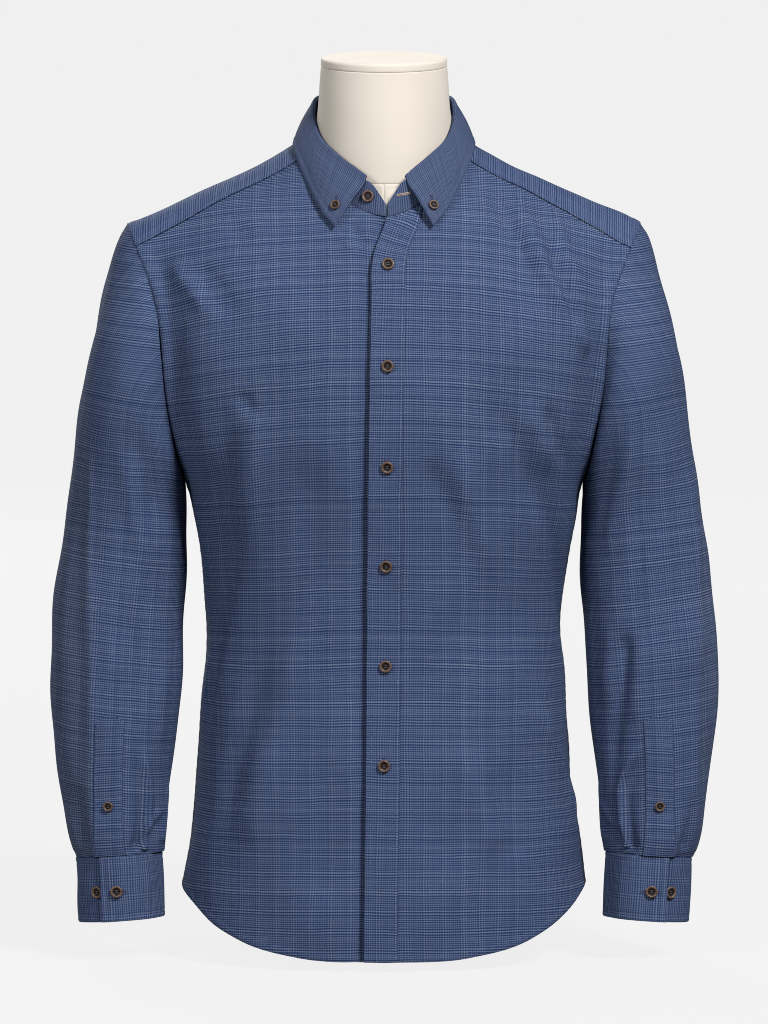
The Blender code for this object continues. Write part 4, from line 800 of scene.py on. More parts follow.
OVER_ARCS = arc_table(over_shoulder, OVER_X, OVER)


def yoke_grain(points):
    """The yoke is cut across: its warp runs from shoulder to shoulder."""
    x = points[..., 0]
    back, up = points[..., 1] - SHOULDER_AXIS[0][1], points[..., 2] - over_axis(np.abs(x))
    angles = np.degrees(np.arctan2(back, up))
    over = read_table(OVER_ARCS, OVER_X, OVER, np.abs(x), angles)
    behind = read_table(OVER_ARCS, OVER_X, OVER, np.abs(x), np.full(x.shape, OVER_BACK))
    return np.stack([over - behind, x * math.hypot(1, SHOULDER_DROP)], axis=-1)


def grid_grain(grid):
    """Metres down and across a grid of points, from its first corner."""
    across = np.linalg.norm(np.diff(grid, axis=1), axis=-1).mean(axis=0)
    down = np.linalg.norm(np.diff(grid, axis=0), axis=-1).mean(axis=1)
    u = np.concatenate([[0.0], np.cumsum(down)])
    v = np.concatenate([[0.0], np.cumsum(across)])
    return np.stack(np.broadcast_arrays(u[:, None], v[None, :]), axis=-1)


# ---- meshes
def new_mesh(name, points, faces, look, grain=None, sharp=40.0):
    """A mesh from points and quads or triangles, with its faces turned outwards."""
    mesh = bpy.data.meshes.new(name)
    faces = faces.tolist() if isinstance(faces, np.ndarray) else faces
    mesh.from_pydata(np.asarray(points).tolist(), [], faces)
    if grain is not None:
        layer = mesh.uv_layers.new(name="grain")
        layer.data.foreach_set("uv", np.asarray(grain, float).reshape(-1))
    mesh.calc_loop_triangles()
    corners = np.empty(len(mesh.loop_triangles) * 3, np.int32)
    mesh.loop_triangles.foreach_get("vertices", corners)
    if np.linalg.det(np.asarray(points)[corners.reshape(-1, 3)]).sum() < 0:
        mesh.flip_normals()
    mesh.shade_smooth()
    mesh.set_sharp_from_angle(angle=math.radians(sharp))
    mesh.materials.append(look)
    mesh.update()
    return mesh


def new_object(name, data):
    thing = bpy.data.objects.new(name, data)
    bpy.context.scene.collection.objects.link(thing)
    return thing


def shell(name, outer, facing, thick, grain, look, closed=False):
    """A closed thin wall of cloth behind a grid of points."""
    rows, cols = outer.shape[:2]
    spans = cols if closed else cols - 1

    def spots(i, j):
        return np.stack(np.broadcast_arrays(i, j), axis=-1)

    i, j = (a.reshape(-1) for a in np.mgrid[0:rows - 1, 0:spans])
    corners = np.stack([spots(i, j), spots(i, j + 1), spots(i + 1, j + 1), spots(i + 1, j)], axis=1)
    front = corners[..., 0] * cols + corners[..., 1] % cols
    parts = [(front, corners), (front[:, ::-1] + rows * cols, corners[:, ::-1])]

    def rim(a, b):
        at = np.stack([a, b, b, a], axis=1)
        flat = at[..., 0] * cols + at[..., 1] % cols
        flat[:, 2:] += rows * cols
        parts.append((flat[:, ::-1], at[:, ::-1]))

    across, down = np.arange(spans), np.arange(rows - 1)
    rim(spots(0, across), spots(0, across + 1))
    rim(spots(rows - 1, across + 1), spots(rows - 1, across))
    if not closed:
        rim(spots(down + 1, 0), spots(down, 0))
        rim(spots(down, cols - 1), spots(down + 1, cols - 1))
    faces = np.concatenate([part[0] for part in parts])
    places = np.concatenate([part[1] for part in parts])
    uv = grain[places[..., 0], places[..., 1]]
    points = np.concatenate([outer.reshape(-1, 3), (outer - facing * thick).reshape(-1, 3)])
    return new_object(name, new_mesh(name, points, faces, look, uv))


def riding(piece, node=None):
    """The piece on the root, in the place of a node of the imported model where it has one."""
    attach(piece, "root")
    if node:
        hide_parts(node)
    return piece


def cloth(made, name, node, outer, facing, thick, grain, look, closed=False):
    """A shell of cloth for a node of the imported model, kept with its grid for what is sewn on it."""
    made[name] = riding(shell(name, outer, facing, thick, grain, look, closed), node)
    made["grids"][name] = (outer, facing)


def ring_faces(rows, sides, first=0):
    """The faces between closed rings of points."""
    corners = ((0, 0), (0, 1), (1, 1), (1, 0))
    return [[first + (i + up) * sides + (k + on) % sides for up, on in corners]
            for i in range(rows - 1) for k in range(sides)]


def pointed(rings, start, end):
    """Rings of points as one closed body, with a point at each end."""
    rows, sides = rings.shape[:2]
    last = (rows - 1) * sides
    faces = ring_faces(rows, sides)
    for k in range(sides):
        after = (k + 1) % sides
        faces += [[rows * sides, after, k], [rows * sides + 1, last + k, last + after]]
    return np.concatenate([rings.reshape(-1, 3), [start, end]]), faces


def finished(thing):
    """The mesh of an object with its modifiers, which are then gone with the object."""
    graph = bpy.context.evaluated_depsgraph_get()
    mesh = bpy.data.meshes.new_from_object(thing.evaluated_get(graph), depsgraph=graph)
    bpy.data.objects.remove(thing, do_unlink=True)
    return mesh


def inset(grid, facing, edge, gap, start=0.0, end=0.0, lift=0.00012):
    """A seam's line inside one edge of a grid, short of its ends, with the directions out of the cloth."""
    if edge in ("first", "last"):
        grid, facing = grid.swapaxes(0, 1), facing.swapaxes(0, 1)
    if edge in ("right", "last"):
        grid, facing = grid[:, ::-1], facing[:, ::-1]
    at = np.array([np.interp(gap, far, np.arange(len(far))) for far in along(grid)])
    rows = np.arange(len(grid))
    line, normals = sampled(grid, rows, at), unit(sampled(facing, rows, at))
    total = along(line)
    kept = (total >= start) & (total <= total[-1] - end)
    return line[kept] + normals[kept] * lift, normals[kept]


# ---- materials
def nodes_of(name):
    look = bpy.data.materials.new(name)
    look.use_nodes = True
    return look, look.node_tree, look.node_tree.nodes["Principled BSDF"]


def feed(tree, node, inputs):
    """A node's inputs by name: a value or another node's output."""
    for key, value in inputs.items():
        if isinstance(value, bpy.types.NodeSocket):
            tree.links.new(value, node.inputs[key])
        else:
            node.inputs[key].default_value = value


def add_node(tree, kind, inputs=None, **settings):
    node = tree.nodes.new(kind)
    for key, value in settings.items():
        setattr(node, key, value)
    feed(tree, node, inputs or {})
    return node


def sum_of(tree, how, a, b=0.0, c=0.0):
    return add_node(tree, "ShaderNodeMath", {0: a, 1: b, 2: c}, operation=how).outputs[0]


def object_place(tree):
    return add_node(tree, "ShaderNodeTexCoord").outputs["Object"]


def clouds(tree, place, scale, detail, **more):
    """Soft noise over a piece."""
    return add_node(tree, "ShaderNodeTexNoise", {"Vector": place, "Scale": scale, "Detail": detail, **more})


def ramped(tree, share, stops, blend="LINEAR"):
    """A share turned into colours: each stop is its place and its red, green and blue."""
    ramp = add_node(tree, "ShaderNodeValToRGB", {"Fac": share})
    band = ramp.color_ramp
    band.interpolation = blend
    band.elements[0].position, band.elements[1].position = stops[0][0], stops[-1][0]
    for place, _ in stops[1:-1]:
        band.elements.new(place)
    for element, (_, colour) in zip(band.elements, stops):
        element.color = (*colour, 1.0)
    return ramp.outputs["Color"]


def bumped(tree, height, strength, distance):
    inputs = {"Height": height, "Strength": strength, "Distance": distance}
    return add_node(tree, "ShaderNodeBump", inputs).outputs["Normal"]


# the yarns of one repeat of the check: a cluster of bold stripes and a fine ground, from dark 0 to pale 1;
# the tones are those of the warp and then those of the weft
CLUSTER = (1.15, 1.20, 1.15, 1.25, 1.15, 1.10)      # widths of the bold stripes, in millimetres
CLUSTER_TONES = ((0.24, 0.72, 0.22, 0.74, 0.24, 0.68), (0.14, 0.66, 0.11, 0.69, 0.14, 0.62))
GROUND = (0.93, 0.95)                               # widths of a dark and a pale ground stripe
GROUND_TONES = (((0.29, 0.62),) * 5, ((0.14, 0.62), (0.18, 0.68), (0.12, 0.62), (0.18, 0.66), (0.14, 0.60)))
LAST_STRIPE = (0.35, 0.40)
YARN = 0.00042              # between two yarns
UNEVEN_EVERY = 0.00095      # how often the dye changes a little
UNEVEN = 0.14               # and how much, in tones
YARN_COLOURS = [            # from the darkest to the palest tone
    (0.0, (0.0026, 0.0068, 0.029)), (0.28, (0.0104, 0.0218, 0.068)), (0.55, (0.0480, 0.0680, 0.127)),
    (1.0, (0.235, 0.276, 0.345)),
]


def stripe_stops(axis):
    """The stripes of one repeat as shares of it, with their tones."""
    stripes = list(zip(CLUSTER, CLUSTER_TONES[axis]))
    for tones in GROUND_TONES[axis]:
        stripes += zip(GROUND, tones)
    stripes.append(LAST_STRIPE)
    widths = np.array([width for width, _ in stripes])
    starts = np.concatenate([[0.0], np.cumsum(widths)[:-1]]) / widths.sum()
    return [(float(start), (tone, tone, tone)) for start, (_, tone) in zip(starts, stripes)]


def check_group():
    """The micro check: warp and weft yarns dyed in the same order, as a tone from dark to pale."""
    tree = bpy.data.node_groups.new("woven check", "ShaderNodeTree")
    tree.interface.new_socket("Grain", in_out="INPUT", socket_type="NodeSocketVector")
    for label in ("Repeat", "Weft Share", "Contrast", "Waver"):
        tree.interface.new_socket(label, in_out="INPUT", socket_type="NodeSocketFloat")
    for label in ("Tone", "Height"):
        tree.interface.new_socket(label, in_out="OUTPUT", socket_type="NodeSocketFloat")
    given = tree.nodes.new("NodeGroupInput").outputs
    put = tree.nodes.new("NodeGroupOutput")
    slow = clouds(tree, given["Grain"], 14.0, 2.0).outputs["Color"]
    centred = add_node(tree, "ShaderNodeVectorMath", {0: slow, 1: (0.5, 0.5, 0.5)}, operation="SUBTRACT")
    reach = sum_of(tree, "MULTIPLY", given["Waver"], 4.0)
    shift = add_node(tree, "ShaderNodeVectorMath", {0: centred.outputs[0], "Scale": reach}, operation="SCALE")
    laid = add_node(tree, "ShaderNodeVectorMath", {0: given["Grain"], 1: shift.outputs[0]}, operation="ADD")
    axes = add_node(tree, "ShaderNodeSeparateXYZ", {0: laid.outputs[0]}).outputs
    tones, ribs = [], []
    for k in (0, 1):
        share = sum_of(tree, "FRACT", sum_of(tree, "DIVIDE", axes[k], given["Repeat"]))
        striped = ramped(tree, share, stripe_stops(k), "CONSTANT")
        number = sum_of(tree, "FLOOR", sum_of(tree, "DIVIDE", axes[k], UNEVEN_EVERY))
        uneven = add_node(tree, "ShaderNodeTexWhiteNoise", {"W": number}, noise_dimensions="1D")
        swing = sum_of(tree, "MULTIPLY_ADD", uneven.outputs["Value"], UNEVEN, -UNEVEN / 2)
        tones.append(sum_of(tree, "ADD", striped, swing))
        turn = sum_of(tree, "MULTIPLY", sum_of(tree, "DIVIDE", axes[k], YARN), 2 * math.pi)
        ribs.append(sum_of(tree, "SINE", turn))
    warp_share = sum_of(tree, "SUBTRACT", 1.0, given["Weft Share"])
    weft = sum_of(tree, "MULTIPLY", tones[1], given["Weft Share"])
    both = sum_of(tree, "MULTIPLY_ADD", tones[0], warp_share, weft)
    weave = sum_of(tree, "MULTIPLY", ribs[0], ribs[1])
    crossed = sum_of(tree, "MULTIPLY_ADD", weave, 0.02, both)
    strong = sum_of(tree, "MULTIPLY", sum_of(tree, "SUBTRACT", crossed, 0.5), given["Contrast"])
    feed(tree, put, {
        "Tone": sum_of(tree, "ADD", strong, 0.5),
        "Height": sum_of(tree, "MULTIPLY_ADD", weave, 0.5, sum_of(tree, "MULTIPLY", both, 0.3)),
    })
    return tree


def shirting(name, check, contrast=0.86, weft=0.66, painted_shade_grey=0.0, repeat=REPEAT, painted_shade_dim=1.0, painted_sheen=None):
    """The check cotton in navy, slate and pale blue; the last argument paints a greyish sheen and a little
    shade on a sleeve's outer side, where it turns away from the light.
    """
    look, tree, shader = nodes_of(name)
    place = object_place(tree)
    woven = add_node(tree, "ShaderNodeGroup", node_tree=check)
    feed(tree, woven, {
        "Grain": add_node(tree, "ShaderNodeUVMap", uv_map="grain").outputs["UV"],
        "Repeat": repeat, "Weft Share": weft, "Contrast": contrast, "Waver": 0.0011,
    })
    tone = woven.outputs["Tone"]
    # painted shade: the dim and grey arguments darken a whole piece's cloth and make it greyer
    stops = [(at, [c * painted_shade_dim for c in colour]) for at, colour in YARN_COLOURS]
    fade = sum_of(tree, "MULTIPLY_ADD", clouds(tree, place, 9.0, 3.0).outputs["Fac"], 0.16, 0.92)
    colour = add_node(tree, "ShaderNodeHueSaturation", {
        "Color": ramped(tree, tone, stops), "Value": fade, "Saturation": 1.0 - painted_shade_grey,
    }).outputs["Color"]
    # painted sheen and shade: past a distance from the middle, the sleeve's outer side turns greyer and a
    # little darker
    if painted_sheen:
        near, far, most = painted_sheen
        over = add_node(tree, "ShaderNodeSeparateXYZ", {0: place}).outputs["X"]
        outer = add_node(tree, "ShaderNodeMapRange", {
            "Value": sum_of(tree, "ABSOLUTE", over), "From Min": near, "From Max": far,
            "To Min": 0.0, "To Max": most,
        }, interpolation_type="SMOOTHSTEP").outputs["Result"]
        sheen_grey = {"Color": colour, "Saturation": 0.62, "Value": 0.96}
        sheen_grey = add_node(tree, "ShaderNodeHueSaturation", sheen_grey).outputs["Color"]
        colour = add_node(tree, "ShaderNodeMix", {0: outer, 6: colour, 7: sheen_grey}, data_type="RGBA").outputs[2]
    feed(tree, shader, {
        "Base Color": colour, "Roughness": sum_of(tree, "MULTIPLY_ADD", tone, -0.08, 0.88),
        "Normal": bumped(tree, woven.outputs["Height"], 0.35, 0.00012), "Specular IOR Level": 0.10,
    })
    return look


def horn_look(name, colour, gloss):
    """Brown horn-look resin, a little streaked."""
    look, tree, shader = nodes_of(name)
    place = object_place(tree)
    streaks = clouds(tree, place, 420.0, 5.0, Distortion=1.6).outputs["Fac"]
    fine = clouds(tree, place, 2400.0, 3.0).outputs["Fac"]
    feed(tree, shader, {
        "Base Color": ramped(tree, streaks, [(0.32, [c * 0.3 for c in colour]), (0.72, colour)]),
        "Roughness": sum_of(tree, "MULTIPLY_ADD", fine, 0.22, 0.34), "Specular IOR Level": gloss,
        "Normal": bumped(tree, fine, 0.15, 0.00005),
    })
    return look


def thread_look(name, colour):
    """Twisted sewing thread."""
    look, tree, shader = nodes_of(name)
    twist = clouds(tree, object_place(tree), 1500.0, 2.0).outputs["Fac"]
    stops = [(0.3, [c * 0.65 for c in colour]), (0.7, [c * 1.3 for c in colour])]
    feed(tree, shader, {
        "Base Color": ramped(tree, twist, stops), "Roughness": sum_of(tree, "MULTIPLY_ADD", twist, 0.2, 0.6),
    })
    return look


COVER_ROW = 0.0007          # between two rows of the cover's knit
COVER_WALES = 520.0         # its ribs round the form


def cover_look():
    """The dress form's cover: warm off-white cotton jersey, pulled tight."""
    look, tree, shader = nodes_of("form cover")
    place = object_place(tree)
    soft = clouds(tree, place, 14.0, 4.0).outputs["Fac"]
    axes = add_node(tree, "ShaderNodeSeparateXYZ", {0: place}).outputs
    ring = sum_of(tree, "SINE", sum_of(tree, "MULTIPLY", axes["Z"], 2 * math.pi / COVER_ROW))
    turn = sum_of(tree, "ARCTAN2", axes["X"], axes["Y"])
    wale = sum_of(tree, "SINE", sum_of(tree, "MULTIPLY", turn, COVER_WALES))
    feed(tree, shader, {
        "Base Color": ramped(tree, soft, [(0.25, (0.450, 0.408, 0.356)), (0.75, (0.490, 0.448, 0.396))]),
        "Normal": bumped(tree, sum_of(tree, "MULTIPLY_ADD", ring, wale, soft), 0.25, 0.00008),
        "Roughness": sum_of(tree, "MULTIPLY_ADD", soft, 0.12, 0.74),
        "Specular IOR Level": 0.25, "Sheen Weight": 0.08,
    })
    return look


def floor_look():
    """Pale paper, lit through from behind so that it stays even."""
    look, tree, shader = nodes_of("pale studio paper")
    place = object_place(tree)
    grain = clouds(tree, place, 3.0, 4.0).outputs["Fac"]
    reach = add_node(tree, "ShaderNodeVectorMath", {0: place}, operation="LENGTH").outputs["Value"]
    glow = add_node(tree, "ShaderNodeMapRange", {
        "Value": reach, "From Min": 0.5, "From Max": 9.0, "To Min": FLOOR_GLOW[0], "To Max": FLOOR_GLOW[1],
    }, interpolation_type="SMOOTHSTEP").outputs["Result"]
    seen = add_node(tree, "ShaderNodeLightPath").outputs["Is Camera Ray"]
    extra = sum_of(tree, "SUBTRACT", glow, FLOOR_BOUNCE)
    feed(tree, shader, {
        "Base Color": ramped(tree, grain, [(0.0, (0.030, 0.030, 0.030)), (1.0, (0.034, 0.034, 0.034))]),
        "Emission Color": (1.0, 1.0, 1.0, 1.0),
        "Emission Strength": sum_of(tree, "MULTIPLY_ADD", seen, extra, FLOOR_BOUNCE),
        "Roughness": 0.95, "Specular IOR Level": 0.0,
    })
    return look


def make_looks():
    check = check_group()
    return {
        "cloth": shirting("shirting", check),
        # the sleeves' outer sides get a painted greyish sheen and a little painted shade
        "sleeve_right": shirting("shirting of the right sleeve with painted sheen", check, painted_sheen=(0.2540, 0.2660, 0.26)),
        "sleeve_left": shirting("shirting of the left sleeve with painted sheen", check, painted_sheen=(0.2740, 0.2880, 0.22)),
        "yoke": shirting("shirting of the yoke", check, contrast=0.72, weft=0.68),
        # the collar's leaf and stand are darker, greyer copies of the shirting: painted shade where the leaf
        # faces outwards and where the stand lies under it
        "leaf": shirting("shirting of the collar", check, contrast=0.58, painted_shade_grey=0.06,
                         repeat=REPEAT * 0.8, painted_shade_dim=0.88),
        "stand": shirting("shirting of the stand", check, contrast=0.72, painted_shade_grey=0.05, painted_shade_dim=0.92),
        "cuff": shirting("shirting of the cuffs", check, contrast=0.72, weft=0.58),
        "horn": horn_look("button resin", (0.108, 0.064, 0.046), gloss=0.35),
        # a darker copy of the resin: painted shade in the button's dish
        "dish": horn_look("button resin with painted shade in the dish", (0.016, 0.010, 0.008), gloss=0.1),
        "pale": thread_look("pale topstitch thread", (0.085, 0.120, 0.215)),
        "tone": thread_look("topstitch thread", (0.042, 0.064, 0.130)),
        "navy": thread_look("buttonhole thread", (0.030, 0.036, 0.090)),
        "tan": thread_look("tan thread", (0.420, 0.300, 0.190)),
        "brown": thread_look("button thread", (0.030, 0.026, 0.030)),
        "cover": cover_look(),
        "floor": floor_look(),
    }


# ---- stitches
def stitch_tree():
    """Short rounded stitches along an edge line, turned to lie on the cloth."""
    tree = bpy.data.node_groups.new("stitches along a seam", "GeometryNodeTree")
    face = tree.interface
    face.new_socket("Geometry", in_out="INPUT", socket_type="NodeSocketGeometry")
    for label, value in (("Pitch", 0.0026), ("Length", 0.0019), ("Width", 0.00045), ("Height", 0.00036)):
        face.new_socket(label, in_out="INPUT", socket_type="NodeSocketFloat").default_value = value
    face.new_socket("Seed", in_out="INPUT", socket_type="NodeSocketInt").default_value = 1
    face.new_socket("Thread", in_out="INPUT", socket_type="NodeSocketMaterial")
    face.new_socket("Geometry", in_out="OUTPUT", socket_type="NodeSocketGeometry")
    given = tree.nodes.new("NodeGroupInput").outputs
    put = tree.nodes.new("NodeGroupOutput").inputs
    line = add_node(tree, "GeometryNodeMeshToCurve", {"Mesh": given["Geometry"]})
    even = add_node(tree, "GeometryNodeResampleCurve", {"Curve": line.outputs[0], "Length": given["Pitch"]},
                    mode="LENGTH")
    tangent = add_node(tree, "GeometryNodeInputTangent")
    out = add_node(tree, "GeometryNodeInputNamedAttribute", {"Name": "out"}, data_type="FLOAT_VECTOR")
    lengthwise = add_node(tree, "FunctionNodeAlignRotationToVector", {"Vector": tangent.outputs[0]}, axis="X")
    upright = add_node(tree, "FunctionNodeAlignRotationToVector",
                       {"Rotation": lengthwise.outputs[0], "Vector": out.outputs[0]}, axis="Z", pivot_axis="X")
    bead = add_node(tree, "GeometryNodeMeshUVSphere", {"Segments": 6, "Rings": 4, "Radius": 0.5})
    size = add_node(tree, "ShaderNodeCombineXYZ", {0: given["Length"], 1: given["Width"], 2: given["Height"]})
    shaped = add_node(tree, "GeometryNodeTransform", {"Geometry": bead.outputs[0], "Scale": size.outputs[0]})
    uneven = add_node(tree, "FunctionNodeRandomValue", {"Seed": given["Seed"]}, data_type="FLOAT_VECTOR")
    uneven.inputs[0].default_value = (0.86, 0.9, 0.9)
    uneven.inputs[1].default_value = (1.06, 1.1, 1.1)
    placed = add_node(tree, "GeometryNodeInstanceOnPoints", {
        "Points": even.outputs[0], "Instance": shaped.outputs[0], "Rotation": upright.outputs[0],
        "Scale": uneven.outputs[0],
    })
    real = add_node(tree, "GeometryNodeRealizeInstances", {"Geometry": placed.outputs[0]})
    soft = add_node(tree, "GeometryNodeSetShadeSmooth", {"Geometry": real.outputs[0]})
    dressed = {"Geometry": soft.outputs[0], "Material": given["Thread"]}
    tree.links.new(add_node(tree, "GeometryNodeSetMaterial", dressed).outputs[0], put["Geometry"])
    return tree


def stitched(name, lines, tree, thread, **sizes):
    """One mesh of stitches along lines, each given by its points and the directions out of the cloth."""
    points = np.concatenate([line for line, _ in lines])
    out = np.concatenate([normals for _, normals in lines])
    edges, first = [], 0
    for line, _ in lines:
        edges += [(k, k + 1) for k in range(first, first + len(line) - 1)]
        first += len(line)
    path = bpy.data.meshes.new(name + "_line")
    path.from_pydata(points.tolist(), edges, [])
    path.attributes.new("out", "FLOAT_VECTOR", "POINT").data.foreach_set("vector", out.reshape(-1))
    guide = new_object(name + "_line", path)
    modifier = guide.modifiers.new("stitches", "NODES")
    modifier.node_group = tree
    values = {"Thread": thread, **sizes}
    for socket in tree.interface.items_tree:
        if socket.in_out == "INPUT" and socket.name in values:
            modifier[socket.identifier] = values[socket.name]
    mesh = finished(guide)
    mesh.name = name
    riding(new_object(name, mesh))


# ---- body panels
def hem_height(x):
    return HEM_Z + smooth(HEM[:, 0], HEM[:, 1], np.abs(x))


def hem_line(turns):
    z = np.full(len(turns), HEM_Z)
    for _ in range(14):
        points = at_turn(turns, z)
        z = hem_height(points[:, 0])
    return at_turn(turns, z)


def filled(bottom, top, left, right, s, t):
    """A four-sided patch of turns and heights between its sides."""
    s, t = s[None, :, None], t[:, None, None]
    ruled = (1 - t) * bottom[None] + t * top[None] + (1 - s) * left[:, None] + s * right[:, None]
    held = (1 - s) * (1 - t) * bottom[0] + s * (1 - t) * bottom[-1] + (1 - s) * t * top[0] + s * t * top[-1]
    return ruled - held


def side_seam(side, count=160):
    z = np.linspace(SIDE_HEM_Z, ARMPIT_Z, count)
    return points_at(side * column(BODY, 1, z), 0.0, z)


def front_edge(side):
    top = neckline([0.0], side)[0]
    z = np.linspace(HEM_Z, top[2], 260)
    x = column(FRONT_EDGES, 1, z)
    if side < 0:
        x = np.maximum(column(FRONT_EDGES, 2, z), x + UNDER_LEAP * (1 - ease(z, 0.662, top[2])))
    line = on_face(x, z, -1)
    line[-1] = top
    return line


def two_lines(first, second):
    """Two lines end to end, and the corner's share of the whole."""
    line = np.concatenate([first, second[1:]])
    return line, along(first)[-1] / along(line)[-1]


def panel_points(inner, outer, outer_corner, top, top_corner, bottom):
    """The worn surface between four lines, with points closer together at the outer sides."""
    s = edge_marks(along(bottom)[-1], STEP, end=True)
    t = edge_marks(along(inner)[-1], STEP, start=True, end=True)
    flat = filled(
        turn_and_height(spaced(bottom, s)), turn_and_height(spaced(top, bent(s, top_corner))),
        turn_and_height(spaced(inner, t)), turn_and_height(spaced(outer, bent(t, outer_corner))), s, t,
    )
    return at_turn(flat[..., 0], flat[..., 1])


def front_points(side):
    inner = front_edge(side)
    armhole = armhole_points(np.linspace(0, YOKE_FRONT_TURN, 200)) * mirrored(side)
    outer, outer_corner = two_lines(side_seam(side), armhole)
    top, top_corner = two_lines(neckline(np.linspace(0, YOKE_NECK_TURN, 80), side), front_yoke_seam(side))
    start = turn_and_height(inner[:1])[0, 0]
    bottom = hem_line(np.linspace(start, 90.0 * side, 160))
    return panel_points(inner, outer, outer_corner, top, top_corner, bottom)


def back_points():
    z = np.linspace(HEM_Z, YOKE_BACK_Z, 260)
    inner = on_face(1e-6, z, 1)
    outer, outer_corner = two_lines(side_seam(1), armhole_points(np.linspace(360, YOKE_BACK_TURN, 200)))
    top = back_yoke_seam(np.linspace(1e-6, 1, 80))
    bottom = hem_line(np.linspace(180.0, 90.0, 160))
    half = panel_points(inner, outer, outer_corner, top, 0.5, bottom)
    return np.concatenate([(half * mirrored(-1))[:, :0:-1], half], axis=1)


def yoke_points():
    halves = []
    neck_corner = YOKE_NECK_TURN + (180 - YOKE_NECK_TURN) * YOKE_ARM_SHARE
    shares = edge_marks(0.165, STEP, end=True)
    arm_marks = edge_marks(0.1, 0.1 / YOKE_ARM_STEPS, start=True)
    back_marks = edge_marks(0.2, 0.2 / YOKE_BACK_STEPS)
    arm_turns = YOKE_FRONT_TURN + (YOKE_BACK_TURN - YOKE_FRONT_TURN) * arm_marks
    neck_turns = np.concatenate([
        YOKE_NECK_TURN + (neck_corner - YOKE_NECK_TURN) * arm_marks,
        neck_corner + (180 - neck_corner) * back_marks[1:],
    ])
    outer = np.concatenate([armhole_points(arm_turns), back_yoke_seam(back_marks)[::-1][1:]])
    for side in (1, -1):
        halves.append(laid_rows(neckline(neck_turns, side), outer * mirrored(side), shares, 0.004))
    return np.concatenate([halves[0], halves[1][::-1][1:]])


def seams_of_body():
    """The lines that body panels are sewn along."""
    seams = {}
    for side in (1, -1):
        word = side_word(side)
        seams["armhole_" + word] = armhole_points(np.linspace(0, 360, 120)) * mirrored(side)
        seams["side_" + word] = side_seam(side, 60)
        seams["front_yoke_" + word] = front_yoke_seam(side, 40)
    half = back_yoke_seam(np.linspace(1e-6, 1, 40))
    seams["back_yoke"] = np.concatenate([(half * mirrored(-1))[:0:-1], half])
    hem = hem_line(np.linspace(0, 180, 160))
    seams["hem"] = np.concatenate([hem, (hem * mirrored(-1))[-2:0:-1], hem[:1]])
    return seams


def body_height(points, normals, seams, names, over=False):
    """How far a body panel's face stands over the worn surface."""
    height = body_folds(points, normals)
    for name in names:
        if name.startswith("armhole"):
            height += felled(points, normals, seams[name], FELL, FELL_RISE)
            height += valley(points, normals, seams[name], VALLEY)
        elif name.startswith("side"):
            height += felled(points, normals, seams[name], SIDE_FELL, SIDE_RISE)
        elif name == "hem":
            height += felled(points, normals, seams[name], HEM_WIDTH, HEM_RISE)
        else:
            apart, _, _ = reach_of(points, normals, seams[name])
            height += (YOKE_OVER if over else -PANEL_UNDER) * (1 - ease(apart, *YOKE_STEP))
    spare = SPARE + LOWER_SPARE * (1 - ease(points[..., 2], *SPARE_Z))
    deep = np.maximum(-height - SHALLOW, 0.0)
    return np.maximum(height, -SHALLOW) - spare * np.tanh(deep / spare)


def make_front(side, seams, looks, made):
    word = side_word(side)
    points = front_points(side)
    facing = body_normal(points)
    names = ["armhole_" + word, "side_" + word, "front_yoke_" + word, "hem"]
    height = body_height(points, facing, seams, names)
    if side < 0:
        height = height - under_the_placket(points)
    outer = points + facing * height[..., None]
    grain = body_grain(points, -1)
    cloth(made, "cloth_front_" + word, "front_" + word, outer, facing, LAYER, grain, looks["cloth"])


def make_placket(seams, looks, made):
    """The band along the left front's edge, from the hem to the collar seam."""
    across = edge_marks(PLACKET_WIDTH, 0.0022, start=True, end=True) * PLACKET_WIDTH
    seam = neckline(np.linspace(0, 44, 120), 1)
    seam_width = seam[:, 0] - column(FRONT_EDGES, 1, seam[:, 2])
    top = np.interp(across, seam_width, seam[:, 2]) - PLACKET_SHORT
    low = hem_height(column(FRONT_EDGES, 1, HEM_Z) + across)
    share = edge_marks(0.66, 0.0026, start=True, end=True)
    z = low[None, :] + (top - low)[None, :] * share[:, None]
    points = on_face(column(FRONT_EDGES, 1, z) + across[None, :], z, -1)
    facing = body_normal(points)
    height = body_height(points, facing, seams, ["hem"])
    crown = 0.00035 * np.sin(math.pi * across / PLACKET_WIDTH)[None, :]
    ripple = waves(points * 2.3, 0.35)
    outer = points + facing * (height + LAYER_GAP + BAND + crown + ripple)[..., None]
    lean = (column(FRONT_EDGES, 1, z + 0.004) - column(FRONT_EDGES, 1, z - 0.004)) / 0.008
    up = np.interp(z, RISE_Z, RISES[-1]) + across[None, :] * lean
    grain = np.stack(np.broadcast_arrays(across[None, :] + PLACKET_PHASE, up), axis=-1)
    cloth(made, "cloth_placket", "placket", outer, facing, BAND, grain, looks["cloth"])


def make_back(seams, looks, made):
    points = back_points()
    facing = body_normal(points)
    names = ["armhole_left", "armhole_right", "side_left", "side_right", "back_yoke", "hem"]
    outer = points + facing * body_height(points, facing, seams, names)[..., None]
    cloth(made, "cloth_back", "back", outer, facing, LAYER, body_grain(points, 1), looks["cloth"])


def make_yoke(seams, looks, made):
    points = yoke_points()
    facing = body_normal(points)
    edges = ["front_yoke_left", "front_yoke_right", "back_yoke"]
    height = body_height(points, facing, seams, ["armhole_left", "armhole_right"])
    height += body_height(points, facing, seams, edges, over=True)
    height -= body_height(points, facing, seams, [])
    outer = points + facing * height[..., None]
    cloth(made, "cloth_yoke", "yoke", outer, facing, LAYER, yoke_grain(points), looks["yoke"])


